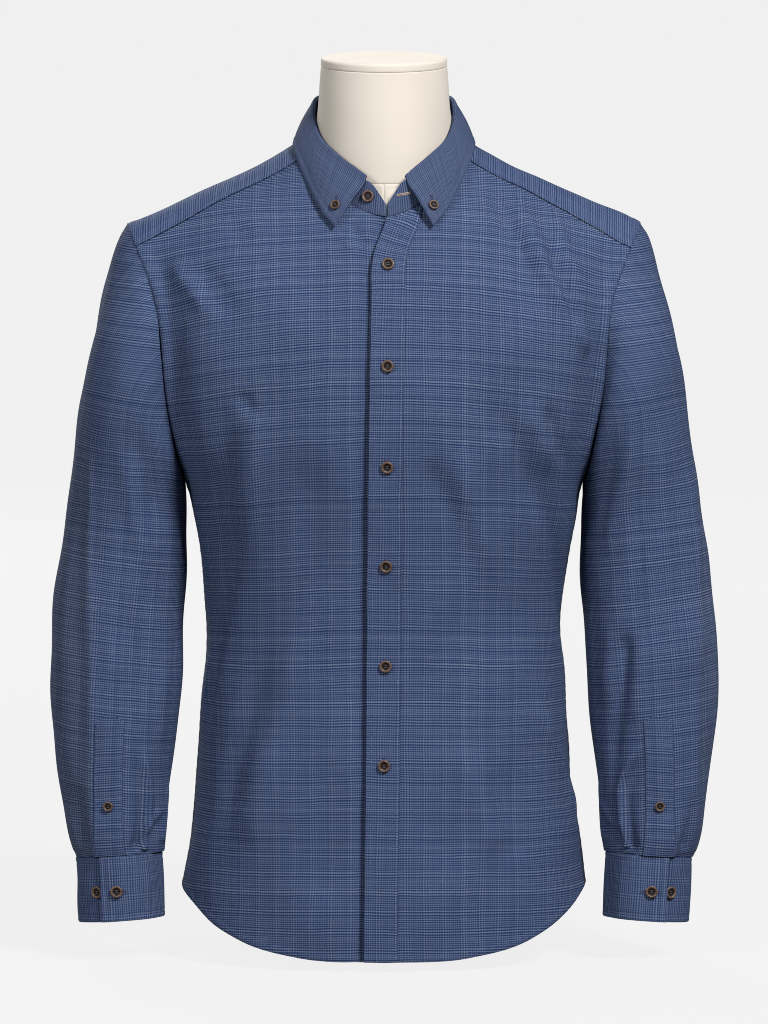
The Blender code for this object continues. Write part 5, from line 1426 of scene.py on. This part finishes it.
# ---- sleeves and cuffs
def tilted_ring(x, y, z, half, depth, sideways, forward, turns, out=0.0):
    """Points of a leaning oval at turns from the side next to the body."""
    sideways, forward, turns = np.radians(sideways), np.radians(forward), np.radians(turns)
    across = points_at(np.cos(sideways), 0.0, np.sin(sideways))
    ahead = points_at(0.0, -np.cos(forward), np.sin(forward))
    over, before = np.cos(turns) * (half + out), np.sin(turns) * (depth + out)
    return points_at(x, y, z) - across * over[..., None] + ahead * before[..., None]


def sleeve_ring(z, turns, out=0.0):
    x, y, half, depth, sideways, forward = np.moveaxis(columns(SLEEVE, range(1, 7), z), -1, 0)
    return tilted_ring(x, y, z, half, depth, sideways, forward, turns, out)


def cuff_swell(turns, z):
    """How far the cuff's upper end lifts the sleeve."""
    over = ease(turns, 55.0, 80.0) * (1 - ease(turns, 117.0, 130.0))
    return CUFF_LIFT * over * (1 - ease(z, CUFF_SEAM_Z, LIFT_TOP_Z))


def cap_directions(turns):
    """Which way the sleeve leaves the armhole at each turn."""
    lean = math.radians(ARMHOLE_LEAN)
    axis = np.array([math.cos(lean), 0.0, -math.sin(lean)])
    spread = np.radians(turns)
    radial = points_at(0.0, -np.sin(spread), -np.cos(spread))
    radial = unit(radial - (radial @ axis)[..., None] * axis)
    flare = np.radians(column(CAP_FLARE, 1, turns))[..., None]
    return np.cos(flare) * axis + np.sin(flare) * radial


def sleeve_points(turns, heights):
    """The left sleeve, where a height under 0 is a share of the cap down from the armhole."""
    turns, heights = np.asarray(turns, float), np.asarray(heights, float)
    start, end = armhole_points(turns), sleeve_ring(CAP_FOOT_Z, turns)
    reach = np.linalg.norm(end - start, axis=-1)[..., None]
    leave = cap_directions(turns) * reach * column(CAP_FLARE, 2, turns)[..., None]
    arrive = unit(sleeve_ring(CAP_FOOT_Z - 0.02, turns) - end) * reach
    t = np.clip(-heights, 0, 1)[..., None]
    cap = curve_between(t, start, leave, end, arrive)
    z = np.where(heights > 0, heights, CAP_FOOT_Z)
    tube = sleeve_ring(z, turns, cuff_swell(turns, z))
    return np.where(heights[..., None] > 0, tube, cap)


def sleeve_height(points, facing, side):
    """How far a sleeve's face stands over its smooth form."""
    total = waves(points * mirrored(side) + 0.05 * side)
    for marks, spread, height, fade in SLEEVE_FOLDS[side]:
        line = through(sleeve_points(*np.array(marks, float).T))
        total += crease(points, facing, line, spread, height * SLEEVE_GAIN, fade)
    seam = armhole_points(np.linspace(0, 360, 120))
    apart, far, _ = reach_of(points, facing, seam)
    total *= ease(apart, 0.0, CAP_CALM)
    total -= CAP_SUNK * bell(apart, CAP_SUNK_WIDE)
    swing = np.sin(2 * math.pi * far / (PUCKER_WAVE * CAP_WAVE))
    total += PUCKER * CAP_PUCKER * swing * bell(apart - CAP_AT, PUCKER_REACH)
    return total + valley(points, facing, seam, SLEEVE_VALLEY)


def sleeve_grain(points, turns, heights):
    """Along each ring from the gauntlet's middle line, and up the sleeve."""
    wrapped = np.concatenate([points, points[:, :1]], axis=1)
    far = along(wrapped)
    middles = np.interp(np.where(heights > 0, heights, 1.0), GAUNTLET_TURNS_Z, GAUNTLET_TURNS)
    full = np.append(turns, 360.0)
    start = np.array([np.interp(middle, full, row) for middle, row in zip(middles, far)])
    crest = wrapped[:, np.argmin(np.abs(turns - 180.0))]
    rise = along(crest)[-1] - along(crest)
    order = np.argsort(crest[:, 2])
    z = wrapped[..., 2]
    up = np.interp(z, crest[order, 2], rise[order])
    weft = up - SLEEVE_SLOPE * (wrapped[..., 0] - column(SLEEVE, 1, z))
    return np.stack([far - start[:, None] + CLUSTER_HALF, weft + SLEEVE_PHASE], axis=-1)


def make_sleeve(side, looks, made):
    word = side_word(side)
    turns = np.arange(SLEEVE_SIDES) * 360.0 / SLEEVE_SIDES
    cap = [0.0, 0.008, 0.02, 0.035, 0.052, *np.linspace(0.07, 1.0, 62)[:-1]]
    low = np.linspace(CAP_FOOT_Z, CUFF_SEAM_Z + 0.012, 96)
    foot = CUFF_SEAM_Z + np.array([0.0100, 0.0080, 0.0062, 0.0046, 0.0032, 0.0020, 0.0010, 0.0])
    heights = np.concatenate([-np.array(cap), low, foot])
    points = sleeve_points(turns[None], heights[:, None])
    points[0, :, 0] += SEAM
    facing = -grid_normals(points, closed=True)
    height = sleeve_height(points, facing, side)
    height -= 0.0007 * (1 - ease(points[..., 2], CUFF_SEAM_Z, CUFF_SEAM_Z + 0.004))
    outer = (points + facing * height[..., None]) * mirrored(side)
    grain = sleeve_grain(points, turns, heights)
    cloth(made, "cloth_sleeve_" + word, "sleeve_" + word, outer, facing * mirrored(side), LAYER, grain,
          looks["sleeve_" + word], closed=True)


def make_gauntlet(side, looks, made):
    """The sleeve placket: a strip with a pointed end over the sleeve's slit."""
    word = side_word(side)
    across = edge_marks(GAUNTLET_WIDTH, 0.0022, start=True, end=True) * GAUNTLET_WIDTH - GAUNTLET_WIDTH / 2
    share = edge_marks(0.13, 0.0024, start=True, end=True)
    top = GAUNTLET_TOP_Z - GAUNTLET_POINT * np.abs(across) / (GAUNTLET_WIDTH / 2)
    z = top[None, :] + (CUFF_SEAM_Z + 0.0004 - top)[None, :] * share[:, None]
    middle = np.interp(z, GAUNTLET_TURNS_Z, GAUNTLET_TURNS)
    turn = middle + np.degrees(across[None, :] / column(SLEEVE, 3, z))

    def place(more, rise):
        return sleeve_ring(z + rise, turn + more, cuff_swell(turn + more, z + rise))

    grid = place(0.0, 0.0)
    facing = unit(np.cross(place(0.25, 0.0) - place(-0.25, 0.0), place(0.0, 0.001) - grid))
    centre = np.array([float(column(SLEEVE, 1, 0.15)), -0.02, 0.15])
    if ((grid - centre) * facing).sum() < 0:
        facing = -facing
    height = sleeve_height(grid, facing, side)
    outer = (grid + facing * (height + LAYER_GAP + BAND)[..., None]) * mirrored(side)
    grain = np.stack(np.broadcast_arrays(across[None, :] + CLUSTER_HALF, z), axis=-1)
    cloth(made, "cloth_gauntlet_" + word, "gauntlet_" + word, outer, facing * mirrored(side), BAND, grain,
          looks["cloth"])


def cuff_rows(turns, out):
    """The cuff's upper and lower edges at turns round the wrist."""
    x, y, half, depth, sideways, forward = columns(SLEEVE, range(1, 7), CUFF_SEAM_Z)
    top = np.array([x, y, CUFF_SEAM_Z - SEAM])
    foot = top + np.array([*CUFF_SHIFT, -CUFF_HEIGHT])
    return [tilted_ring(*centre, half, depth, sideways, forward, turns, out) for centre in (top, foot)]


def cuff_points(turns, shares):
    out = CUFF_LIFT * ease(turns, 360.0 + CUFF_LIFT_TURN, 360.0 + CUFF_END_TURN - CUFF_OVERLAP)
    top, foot = cuff_rows(turns, out)
    return top[None] + (foot - top)[None] * np.asarray(shares)[:, None, None]


def make_cuff(side, looks, made):
    word = side_word(side)
    around = edge_marks(0.278, 0.0030, start=True, end=True)
    turns = CUFF_END_TURN - CUFF_OVERLAP + around * (CUFF_OVERLAP + 360.0)
    shares = edge_marks(CUFF_HEIGHT, 0.0030, start=True, end=True)
    points = cuff_points(turns, shares)
    facing = -grid_normals(points)
    ends = np.concatenate([points[:, 0], points[-1], points[::-1, -1], points[0, ::-1]])
    apart, far, _ = reach_of(points, facing, ends[::2])
    height = waves(points * mirrored(side) * 1.7, 0.5) + stitched_edge(apart, far, CUFF_EDGE)
    outer = (points + facing * height[..., None]) * mirrored(side)
    cloth(made, "cloth_cuff_" + word, "cuff_" + word, outer, facing * mirrored(side), CUFF_THICK,
          grid_grain(points), looks["cuff"])


# ---- collar
def make_stand(looks, made):
    turns = 180.0 * edge_marks(0.215, 0.0026, start=True)
    rows = edge_marks(0.032, 0.0022, start=True, end=True)
    base = np.concatenate([neckline(turns, 1), neckline(turns, -1)[::-1][1:]])
    top = np.concatenate([stand_top(turns, 1), stand_top(turns, -1)[::-1][1:]])
    rise = unit(top - base)
    both = np.concatenate([turns, turns[::-1][1:]])
    covered = ease(both, LEAF_TURN - 3, LEAF_TURN + 1)[:, None]
    low, high = base - rise * STAND_OVER, top - rise * STAND_SHORT * covered
    points = low[None] + (high - low)[None] * rows[:, None, None]
    facing = grid_normals(points)
    edge = np.concatenate([points[:, 0], points[-1], points[::-1, -1]])
    apart, _, _ = reach_of(points, facing, edge[::2])
    foot, _, _ = reach_of(points, facing, points[0][::2])
    height = waves(points * 2.0, 0.4)
    for off, (deep, wide) in ((apart, STAND_EDGE), (foot, STAND_FOOT)):
        height -= deep * bell(off, wide)
    outer = points + facing * (DOUBLE / 2 + height)[..., None]
    cloth(made, "cloth_stand", "collar_stand", outer, facing, DOUBLE, grid_grain(points), looks["stand"])


def leaf_fold(turns, side):
    """The stand's top edge under the leaf's fold, the way up the stand there, and the way out."""
    top = stand_top(turns, side)
    rise = unit(top - neckline(turns, side))
    ahead = stand_top(np.asarray(turns) + 0.5, side) - stand_top(np.asarray(turns) - 0.5, side)
    return top, rise, unit(np.cross(ahead, rise)) * side


def leaf_face(turns, side, t):
    """The leaf's face between the fold, where t is 0, and its outer edge, where t is 1."""
    turns = np.asarray(turns, float)
    top, rise, out = leaf_fold(turns, side)
    shares = (turns - LEAF_TURN) / (180.0 - LEAF_TURN)
    edge = onto_body(columns(LEAF, (1, 2, 3), shares) * mirrored(side))
    edge = edge + body_normal(edge) * column(LEAF, 4, shares)[:, None]
    shoulder = top + out * FOLD_OUT - rise * FOLD_DROP
    return shoulder + (edge - shoulder) * t + out * (LEAF_ROLL * 4 * t * (1 - t))


def make_leaf(looks, made):
    marks = np.array([0.0, 0.05, 0.16, 0.38, 0.66, 1.0])
    shares = edge_marks(0.062, 0.0024, end=True)
    shares = np.unique(np.concatenate([np.linspace(0, 0.16, 14), shares[shares > 0.165]]))
    turns = LEAF_TURN + (180.0 - LEAF_TURN) * edge_marks(0.225, 0.0026, start=True)
    halves = []
    for side in (1, -1):
        top, rise, out = leaf_fold(turns, side)
        crest = top + rise * FOLD_RISE
        rows = [crest - out * DOUBLE / 2, crest + out * DOUBLE]
        rows += [leaf_face(turns, side, t) for t in (0.0, 0.30, 0.62, 1.0)]
        flat = np.array(rows).reshape(len(rows), -1)
        half = np.stack([smooth(marks, flat[:, k], shares) for k in range(flat.shape[1])], axis=-1)
        halves.append(half.reshape(len(shares), len(turns), 3))
    points = np.concatenate([halves[0], halves[1][:, ::-1][:, 1:]], axis=1)
    facing = -grid_normals(points)
    edge = np.concatenate([points[:, 0], points[-1], points[::-1, -1]])
    apart, far, _ = reach_of(points, facing, edge[::2])
    rise, full, gone = LEAF_EDGE_RISE
    height = rise * (1 - ease(apart, full, gone)) + stitched_edge(apart, far, LEAF_EDGE)
    outer = points + facing * height[..., None]
    cloth(made, "cloth_leaf", "collar_leaf", outer, facing, DOUBLE, grid_grain(points), looks["leaf"])


# ---- buttons
# a button's half section from its back to its dish: reach and height, of radius and thickness 1
BUTTON_PROFILE = [
    (0.62, 0.00), (0.80, 0.03), (0.93, 0.16), (0.995, 0.38), (1.00, 0.55), (0.985, 0.74),
    (0.94, 0.90), (0.87, 0.985), (0.79, 1.00), (0.72, 0.955), (0.66, 0.83), (0.60, 0.64), (0.53, 0.50),
    (0.44, 0.42), (0.30, 0.385),
]
BUTTON_MIDDLE = 0.375       # the height of its front in the middle
HOLE_AT, HOLE_RADIUS = 0.165, 0.098
STRAND_REACH = 0.205        # half the length of a strand's arch
STRAND_LOW, STRAND_RISE = 0.28, 0.32
STRAND_HALF, STRAND_SIDE = 0.075, 0.085


def circle(count, radius, x=0.0, y=0.0, z=0.0):
    spin = np.arange(count) * 2 * math.pi / count
    return points_at(x + np.cos(spin) * radius, y + np.sin(spin) * radius, z)


def drilled_button(look):
    """A turned button of radius and thickness 1: thick rim, dished middle and four holes."""
    rings = np.array([circle(40, reach, z=height) for reach, height in BUTTON_PROFILE])
    points, faces = pointed(rings, [0.0, 0.0, 0.0], [0.0, 0.0, BUTTON_MIDDLE])
    blank = new_object("button_blank", new_mesh("button_blank", points, faces, look, sharp=60.0))
    drills, corners, sides = [], [], 12
    for x, y in ((1, 1), (-1, 1), (-1, -1), (1, -1)):
        first = len(drills) * sides
        drills += [circle(sides, HOLE_RADIUS, HOLE_AT * x, HOLE_AT * y, z) for z in (-0.4, 1.4)]
        ends = list(range(first, first + sides)), list(range(first + sides, first + 2 * sides))
        corners += [*ring_faces(2, sides, first), ends[0][::-1], ends[1]]
    drill = new_object("button_drill", new_mesh("button_drill", np.concatenate(drills), corners, look))
    cut = blank.modifiers.new("holes", "BOOLEAN")
    cut.object, cut.operation, cut.solver = drill, "DIFFERENCE", "EXACT"
    mesh = finished(blank)
    bpy.data.objects.remove(drill, do_unlink=True)
    points = np.empty(len(mesh.vertices) * 3)
    mesh.vertices.foreach_get("co", points)
    return points.reshape(-1, 3), [list(face.vertices) for face in mesh.polygons]


def button_frame(facing):
    across = unit(np.cross([0.0, 0.0, 1.0], facing))
    return np.array([across, np.cross(facing, across), facing])


def thread_mesh():
    """The strands through a button's holes: two short arches side by side, in the button's own size."""
    points, faces = [], []
    sides, steps = 6, 9
    spin = np.arange(sides) * 2 * math.pi / sides
    for y in (HOLE_AT, -HOLE_AT):
        first = len(points) * sides
        for t in np.linspace(0, math.pi, steps):
            middle = np.array([STRAND_REACH * math.cos(t), y, STRAND_LOW + STRAND_RISE * math.sin(t) ** 0.6])
            away, aside = STRAND_HALF * np.cos(spin), STRAND_SIDE * np.sin(spin)
            points.append(middle + points_at(away * math.cos(t), aside, away * math.sin(t) * 1.6))
        faces += ring_faces(steps, sides, first)
        last = first + (steps - 1) * sides
        faces += [list(range(first, first + sides))[::-1], list(range(last, last + sides))]
    return np.concatenate(points), faces


def seat_on(grid, facing, spot):
    """The point of a grid nearest to a spot, read between its points, and the way out of the cloth there."""
    apart = np.linalg.norm(grid - spot, axis=-1)
    i, j = np.unravel_index(np.argmin(apart), apart.shape)
    out = facing[i, j]
    near = grid[max(i - 1, 0):i + 2, max(j - 1, 0):j + 2].reshape(-1, 3)
    lift = np.median((near - spot) @ out)
    return spot + out * lift, out


def button_seats(made):
    """Each button's name, its place on its cloth, the way out of the cloth, and its radius."""
    seats = []

    def seat(name, sheet, spot, radius):
        seats.append((name, *seat_on(*made["grids"][sheet], spot), radius))

    for number, (x, z) in enumerate(FRONT_BUTTONS, 1):
        seat(f"front_button_{number}", "cloth_placket", on_face(x, z, -1), BUTTON_RADIUS)
    seat("stand_button", "cloth_stand", on_stand(-1, *STAND_BUTTON), BUTTON_RADIUS)
    turn, share = COLLAR_BUTTON
    for side in (1, -1):
        seat("collar_button_" + side_word(side), "cloth_leaf", leaf_face([turn], side, share)[0], SMALL_RADIUS)
    for side in (1, -1):
        word = side_word(side)
        z = GAUNTLET_BUTTON_Z
        turn = np.interp(z, GAUNTLET_TURNS_Z, GAUNTLET_TURNS)
        spot = sleeve_ring(z, [turn], cuff_swell(np.array([turn]), z))[0] * mirrored(side)
        seat("gauntlet_button_" + word, "cloth_gauntlet_" + word, spot, SMALL_RADIUS)
        for level, turn in CUFF_BUTTON_TURNS.items():
            top, foot = cuff_rows([turn], np.array([CUFF_LIFT if level == "upper" else 0.0]))
            spot = (top[0] + (foot[0] - top[0]) * CUFF_BUTTON_SHARE) * mirrored(side)
            seat(f"cuff_button_{level}_{word}", "cloth_cuff_" + word, spot, BUTTON_RADIUS)
    return seats


def on_stand(side, turn, share):
    low, high = neckline([turn], side)[0], stand_top([turn], side)[0]
    return low + (high - low) * share


def make_buttons(seats, looks):
    """Every button on its cloth, with its thread."""
    points, faces = drilled_button(looks["horn"])
    middles = [points[face].mean(axis=0) for face in faces]
    # the faces in the dish take the darker resin, painted shade in the hollow
    dish_shade_faces = [int(math.hypot(x, y) < DISH and z > DISH_Z) for x, y, z in middles]
    strands, strand_faces = thread_mesh()
    threads, corners = [], []
    for number, (name, seat, out, radius) in enumerate(seats):
        turned = button_frame(out)
        size = np.array([radius, radius, BUTTON_THICK])
        base = seat + out * BUTTON_GAP
        mesh = new_mesh("made_" + name, (points * size) @ turned + base, faces, looks["horn"], sharp=60.0)
        mesh.materials.append(looks["dish"])
        mesh.polygons.foreach_set("material_index", dish_shade_faces)
        riding(new_object("made_" + name, mesh), name)
        threads.append((strands * size) @ turned + base)
        corners += [[k + number * len(strands) for k in face] for face in strand_faces]
    mesh = new_mesh("button_threads", np.concatenate(threads), corners, looks["brown"])
    riding(new_object("button_threads", mesh))


# which way a buttonhole runs, its length, and how far its middle lies from the button's
BUTTONHOLES = {
    "front": ("up", 0.0145, 0.0), "collar": ("up", 0.0125, 0.0035), "gauntlet": ("up", 0.0125, 0.0015),
    "cuff": ("across", 0.0145, 0.0012),
}
STAND_HOLE = (12.5, 0.60, 0.0065)       # turn, share up the stand, half its length
STAND_HOLE_TILT = 0.16
HOLE_LIFT = 0.0001
SLIT, BAR = 0.00065, 0.0011             # from a buttonhole's middle line to its rows, and half its end bars
STAND_SLIT = 0.0006
HOLE_STITCH = {"Pitch": 0.00042, "Length": 0.00040, "Height": 0.00040}


def row_of(middle, way, half, out, count=12):
    """A straight row of points both ways from a middle, with the directions out of the cloth."""
    ends = np.array([middle - way * half, middle + way * half])
    return spaced(ends, np.linspace(0, 1, count)), np.tile(out, (count, 1))


def make_buttonholes(seats, tree, looks, made):
    """A worked buttonhole behind each button: close stitches on both sides of a slit."""
    rows = []
    for name, seat, out, _ in seats:
        if name == "stand_button" or "under" in name:
            continue
        way, length, shift = BUTTONHOLES[name.split("_")[0]]
        across, up, _ = button_frame(out)
        inner = across * (-1 if name.endswith("_left") else 1)
        on, aside = (up, across) if way == "up" else (inner, up)
        middle = seat + on * shift + out * HOLE_LIFT
        rows += [row_of(middle + aside * SLIT * k, on, length / 2, out) for k in (-1, 1)]
        rows += [row_of(middle + on * (length / 2) * k, aside, BAR, out, 2) for k in (-1, 1)]
    stitched("buttonholes", rows, tree, looks["navy"], Width=0.00115, **HOLE_STITCH)
    turn, share, half = STAND_HOLE
    seat, out = seat_on(*made["grids"]["cloth_stand"], on_stand(1, turn, share))
    across, up, _ = button_frame(out)
    on = unit(across + up * STAND_HOLE_TILT)
    rows = [row_of(seat + up * STAND_SLIT * k + out * HOLE_LIFT, on, half, out) for k in (-1, 1)]
    stitched("stand_buttonhole", rows, tree, looks["tan"], Width=0.00100, **HOLE_STITCH)


# ---- topstitching
FELL_ROW, HEM_ROW = FELL - ROW_IN, HEM_WIDTH - 0.0010
# each piece's rows of stitches: the edge that a row follows, how far in it lies, and what is left at its ends
STITCH_ROWS = {
    "front_left": [("right", FELL_ROW, 0.004, 0.002), ("first", HEM_ROW, 0.002, 0.004)],
    "sleeve_left": [("last", 0.0015)],
    "gauntlet_left": [
        ("left", 0.0016, 0.0015, 0.0005), ("right", 0.0016, 0.0015, 0.0005),
        ("first", 0.0016, 0.0016, 0.0016), ("first", 0.0190, 0.0016, 0.0016),
    ],
    "cuff_left": [
        ("first", 0.0016), ("last", 0.0050, 0.005, 0.005),
        ("left", 0.0050, 0.0016, 0.005), ("right", 0.0050, 0.0016, 0.005),
    ],
    "front_right": [("right", FELL_ROW, 0.004, 0.002), ("first", HEM_ROW, 0.001, 0.004)],
    "sleeve_right": None, "gauntlet_right": None, "cuff_right": None,       # as on the left
    "placket": [("left", 0.0045, 0.001, 0.001), ("right", 0.0024, 0.001, 0.001)],
    "back": [
        ("left", FELL_ROW, 0.004, 0.002), ("right", FELL_ROW, 0.004, 0.002), ("first", HEM_ROW, 0.004, 0.004),
    ],
    "yoke": [
        ("first", 0.0017, 0.001, 0.002), ("last", 0.0017, 0.001, 0.002), ("right", FELL_ROW, 0.001, 0.001),
    ],
    "leaf": [
        ("last", 0.0052, 0.0052, 0.0052), ("left", 0.0052, 0.004, 0.0052), ("right", 0.0052, 0.004, 0.0052),
    ],
    "stand": [("first", 0.0018, 0.001, 0.001)],
}


def make_stitches(tree, looks, made):
    for number, (name, rows) in enumerate(STITCH_ROWS.items(), 1):
        rows = rows or STITCH_ROWS[name.replace("right", "left")]
        lines = [inset(*made["grids"]["cloth_" + name], *row) for row in rows]
        thread = looks["pale" if name == "placket" else "tone"]
        stitched("stitches_" + name, lines, tree, thread, Seed=number)


# ---- the dress form
def neck_level(points, half, depth, centre_y):
    return (np.hypot(points[..., 0] / half, (points[..., 1] - centre_y) / depth) - 1) * depth


def form_level(points):
    """About how far points lie outside the form under the shirt."""
    z = points[..., 2]
    half, front, back = (column(BODY, k, z) - column(FORM_EASE, k, z) for k in (1, 2, 3))
    trunk = section_level(points, half, front, back)
    solid = joined(trunk, shoulder_level(points, FORM_SHOULDER_RADIUS), SHOULDER_BLEND)
    arm = np.abs(points[..., 0]) - (column(ARMHOLE, 1, z) - FORM_ARM_TRIM)
    solid = -joined(-solid, -arm, FORM_BLEND)
    return joined(solid, neck_level(points, *(column(NECK, k, z) for k in (1, 2, 3))), FORM_BLEND)


def groove(apart, width=0.0007, deep=0.00055):
    return -deep * bell(apart, width)


def covered(name, node, rings, look):
    """Rings of points as a closed, covered part of the form."""
    points, faces = pointed(rings, rings[0].mean(axis=0), rings[-1].mean(axis=0))
    riding(new_object(name, new_mesh(name, points, faces, look, sharp=45.0)), node)


def make_torso(look):
    """The form's trunk and neck, with the cover's seams as fine grooves."""
    beside = np.array([-1.4, -0.9, -0.5, -0.2, 0.0, 0.2, 0.5, 0.9, 1.4])
    seams = [(middle + beside) % 360 for middle in (0, 90, 180, 270)]
    turns = np.unique(np.concatenate([np.linspace(0, 360, 145)[:-1], *seams]))
    heights = np.unique(np.concatenate([
        np.linspace(0.0, 0.60, 100), np.linspace(0.60, NECK_TOP_Z, 60),
        NECK_SEAM_Z + np.array([-0.0016, -0.0010, -0.0005, 0.0, 0.0005, 0.0010, 0.0016]),
        NECK_TOP_Z - np.array([0.0004, 0.0009, 0.0016]),
    ]))
    spokes = points_at(np.sin(np.radians(turns)), -np.cos(np.radians(turns)), 0.0)[None]
    z = heights[:, None]
    axis = points_at(0.0, column(NECK, 3, np.maximum(z, NECK[0, 0])), z)
    low = np.full((len(heights), len(turns)), 0.02)
    rings = cast(lambda reach: axis + spokes * reach[..., None], low, low + 0.24, form_level)
    turned = np.radians(turns) % math.pi
    reach = np.linalg.norm((rings - axis)[..., :2], axis=-1)
    sunk = groove(np.minimum(turned, math.pi - turned) * reach) * (z < NECK_SEAM_Z)
    sunk = sunk + groove(z - NECK_SEAM_Z) + groove(z - NECK_TOP_Z, 0.0003, 0.0005)
    rings = rings + spokes * sunk[..., None]
    tilt = math.tan(math.radians(NECK_TOP_TILT)) * ease(z, 0.755, NECK_TOP_Z)
    rings[..., 2] += (rings - axis)[..., 1] * tilt
    covered("covered_torso", "form_torso", rings, look)


def make_neck_cap(look):
    half, depth, centre_y = (float(column(NECK, k, NECK_TOP_Z)) for k in (1, 2, 3))
    slope = math.tan(math.radians(NECK_TOP_TILT))
    spin = np.radians(np.linspace(0, 360, 121)[:-1])
    bends = np.radians(np.linspace(0, 90, 9))
    profile = [(0.0003, 0.0), (0.0001, 0.0005), (0.0, 0.0011), (0.0, 0.0022), (0.0, 0.0036)]
    profile += [(CAP_ROUND * (1 - math.cos(b)), CAP_THICK - CAP_ROUND * (1 - math.sin(b))) for b in bends]
    profile += [(inward, CAP_THICK + CAP_CROWN * math.sin(inward / 0.055 * math.pi / 2))
                for inward in np.linspace(0.008, 0.050, 8)]
    rings = []
    for inward, rise in profile:
        x, y = np.sin(spin) * (half - inward), -np.cos(spin) * (depth - inward)
        rings.append(points_at(x, y + centre_y, NECK_TOP_Z + SEAM + rise + y * slope))
    covered("covered_neck_cap", "form_neck_cap", np.array(rings), look)


# ---- studio
def make_floor(look, sides=48):
    """A pale floor that runs out to the horizon."""
    rings = np.array([circle(sides, reach) for reach in (1.0, 3.0, 10.0, 60.0, 500.0)])
    points = np.concatenate([rings.reshape(-1, 3), [[0.0, 0.0, 0.0]]])
    faces = [[len(points) - 1, k, (k + 1) % sides] for k in range(sides)]
    faces += [face[::-1] for face in ring_faces(len(rings), sides)]
    mesh = bpy.data.meshes.new("studio_floor")
    mesh.from_pydata(points.tolist(), [], faces)
    mesh.materials.append(look)
    new_object("studio_floor", mesh)


def aimed(thing, away):
    thing.rotation_euler = Vector(away).to_track_quat("-Z", "Y").to_euler()


def add_light(name, place, at, size, power):
    light = bpy.data.lights.new(name, "AREA")
    light.shape, light.size, light.size_y, light.energy = "RECTANGLE", *size, power
    lamp = new_object(name, light)
    lamp.location = place
    aimed(lamp, np.array(at, float) - np.array(place, float))


def make_studio(looks):
    scene = bpy.context.scene
    make_floor(looks["floor"])
    for light in LIGHTS:
        add_light(*light)
    scene.world = bpy.data.worlds.new("studio air")
    scene.world.use_nodes = True
    tree = scene.world.node_tree
    seen = add_node(tree, "ShaderNodeLightPath").outputs["Is Camera Ray"]
    strength = sum_of(tree, "MULTIPLY_ADD", seen, FLOOR_GLOW[1] - AIR, AIR)
    feed(tree, tree.nodes["Background"], {"Color": (1.0, 1.0, 1.0, 1.0), "Strength": strength})
    lens = bpy.data.cameras.new("camera")
    lens.lens, lens.sensor_width, lens.clip_end = CAMERA_LENS, 36.0, 60.0
    camera = new_object("camera", lens)
    up = math.radians(CAMERA_TURN_UP)
    back = np.array([0.0, -math.cos(up), math.sin(up)])
    camera.location = np.array(CAMERA_AT) + back * CAMERA_FAR
    aimed(camera, -back)
    scene.camera = camera
    scene.view_settings.view_transform = "Standard"
    scene.cycles.filter_width = 1.0


# ---- all of it
def main():
    looks = make_looks()
    made = {"grids": {}}
    seams = seams_of_body()
    for side in (1, -1):
        make_front(side, seams, looks, made)
        make_sleeve(side, looks, made)
        make_gauntlet(side, looks, made)
        make_cuff(side, looks, made)
    make_placket(seams, looks, made)
    make_back(seams, looks, made)
    make_yoke(seams, looks, made)
    make_stand(looks, made)
    make_leaf(looks, made)
    seats = button_seats(made)
    make_buttons(seats, looks)
    tree = stitch_tree()
    make_stitches(tree, looks, made)
    make_buttonholes(seats, tree, looks, made)
    make_torso(looks["cover"])
    make_neck_cap(looks["cover"])
    make_studio(looks)


main()
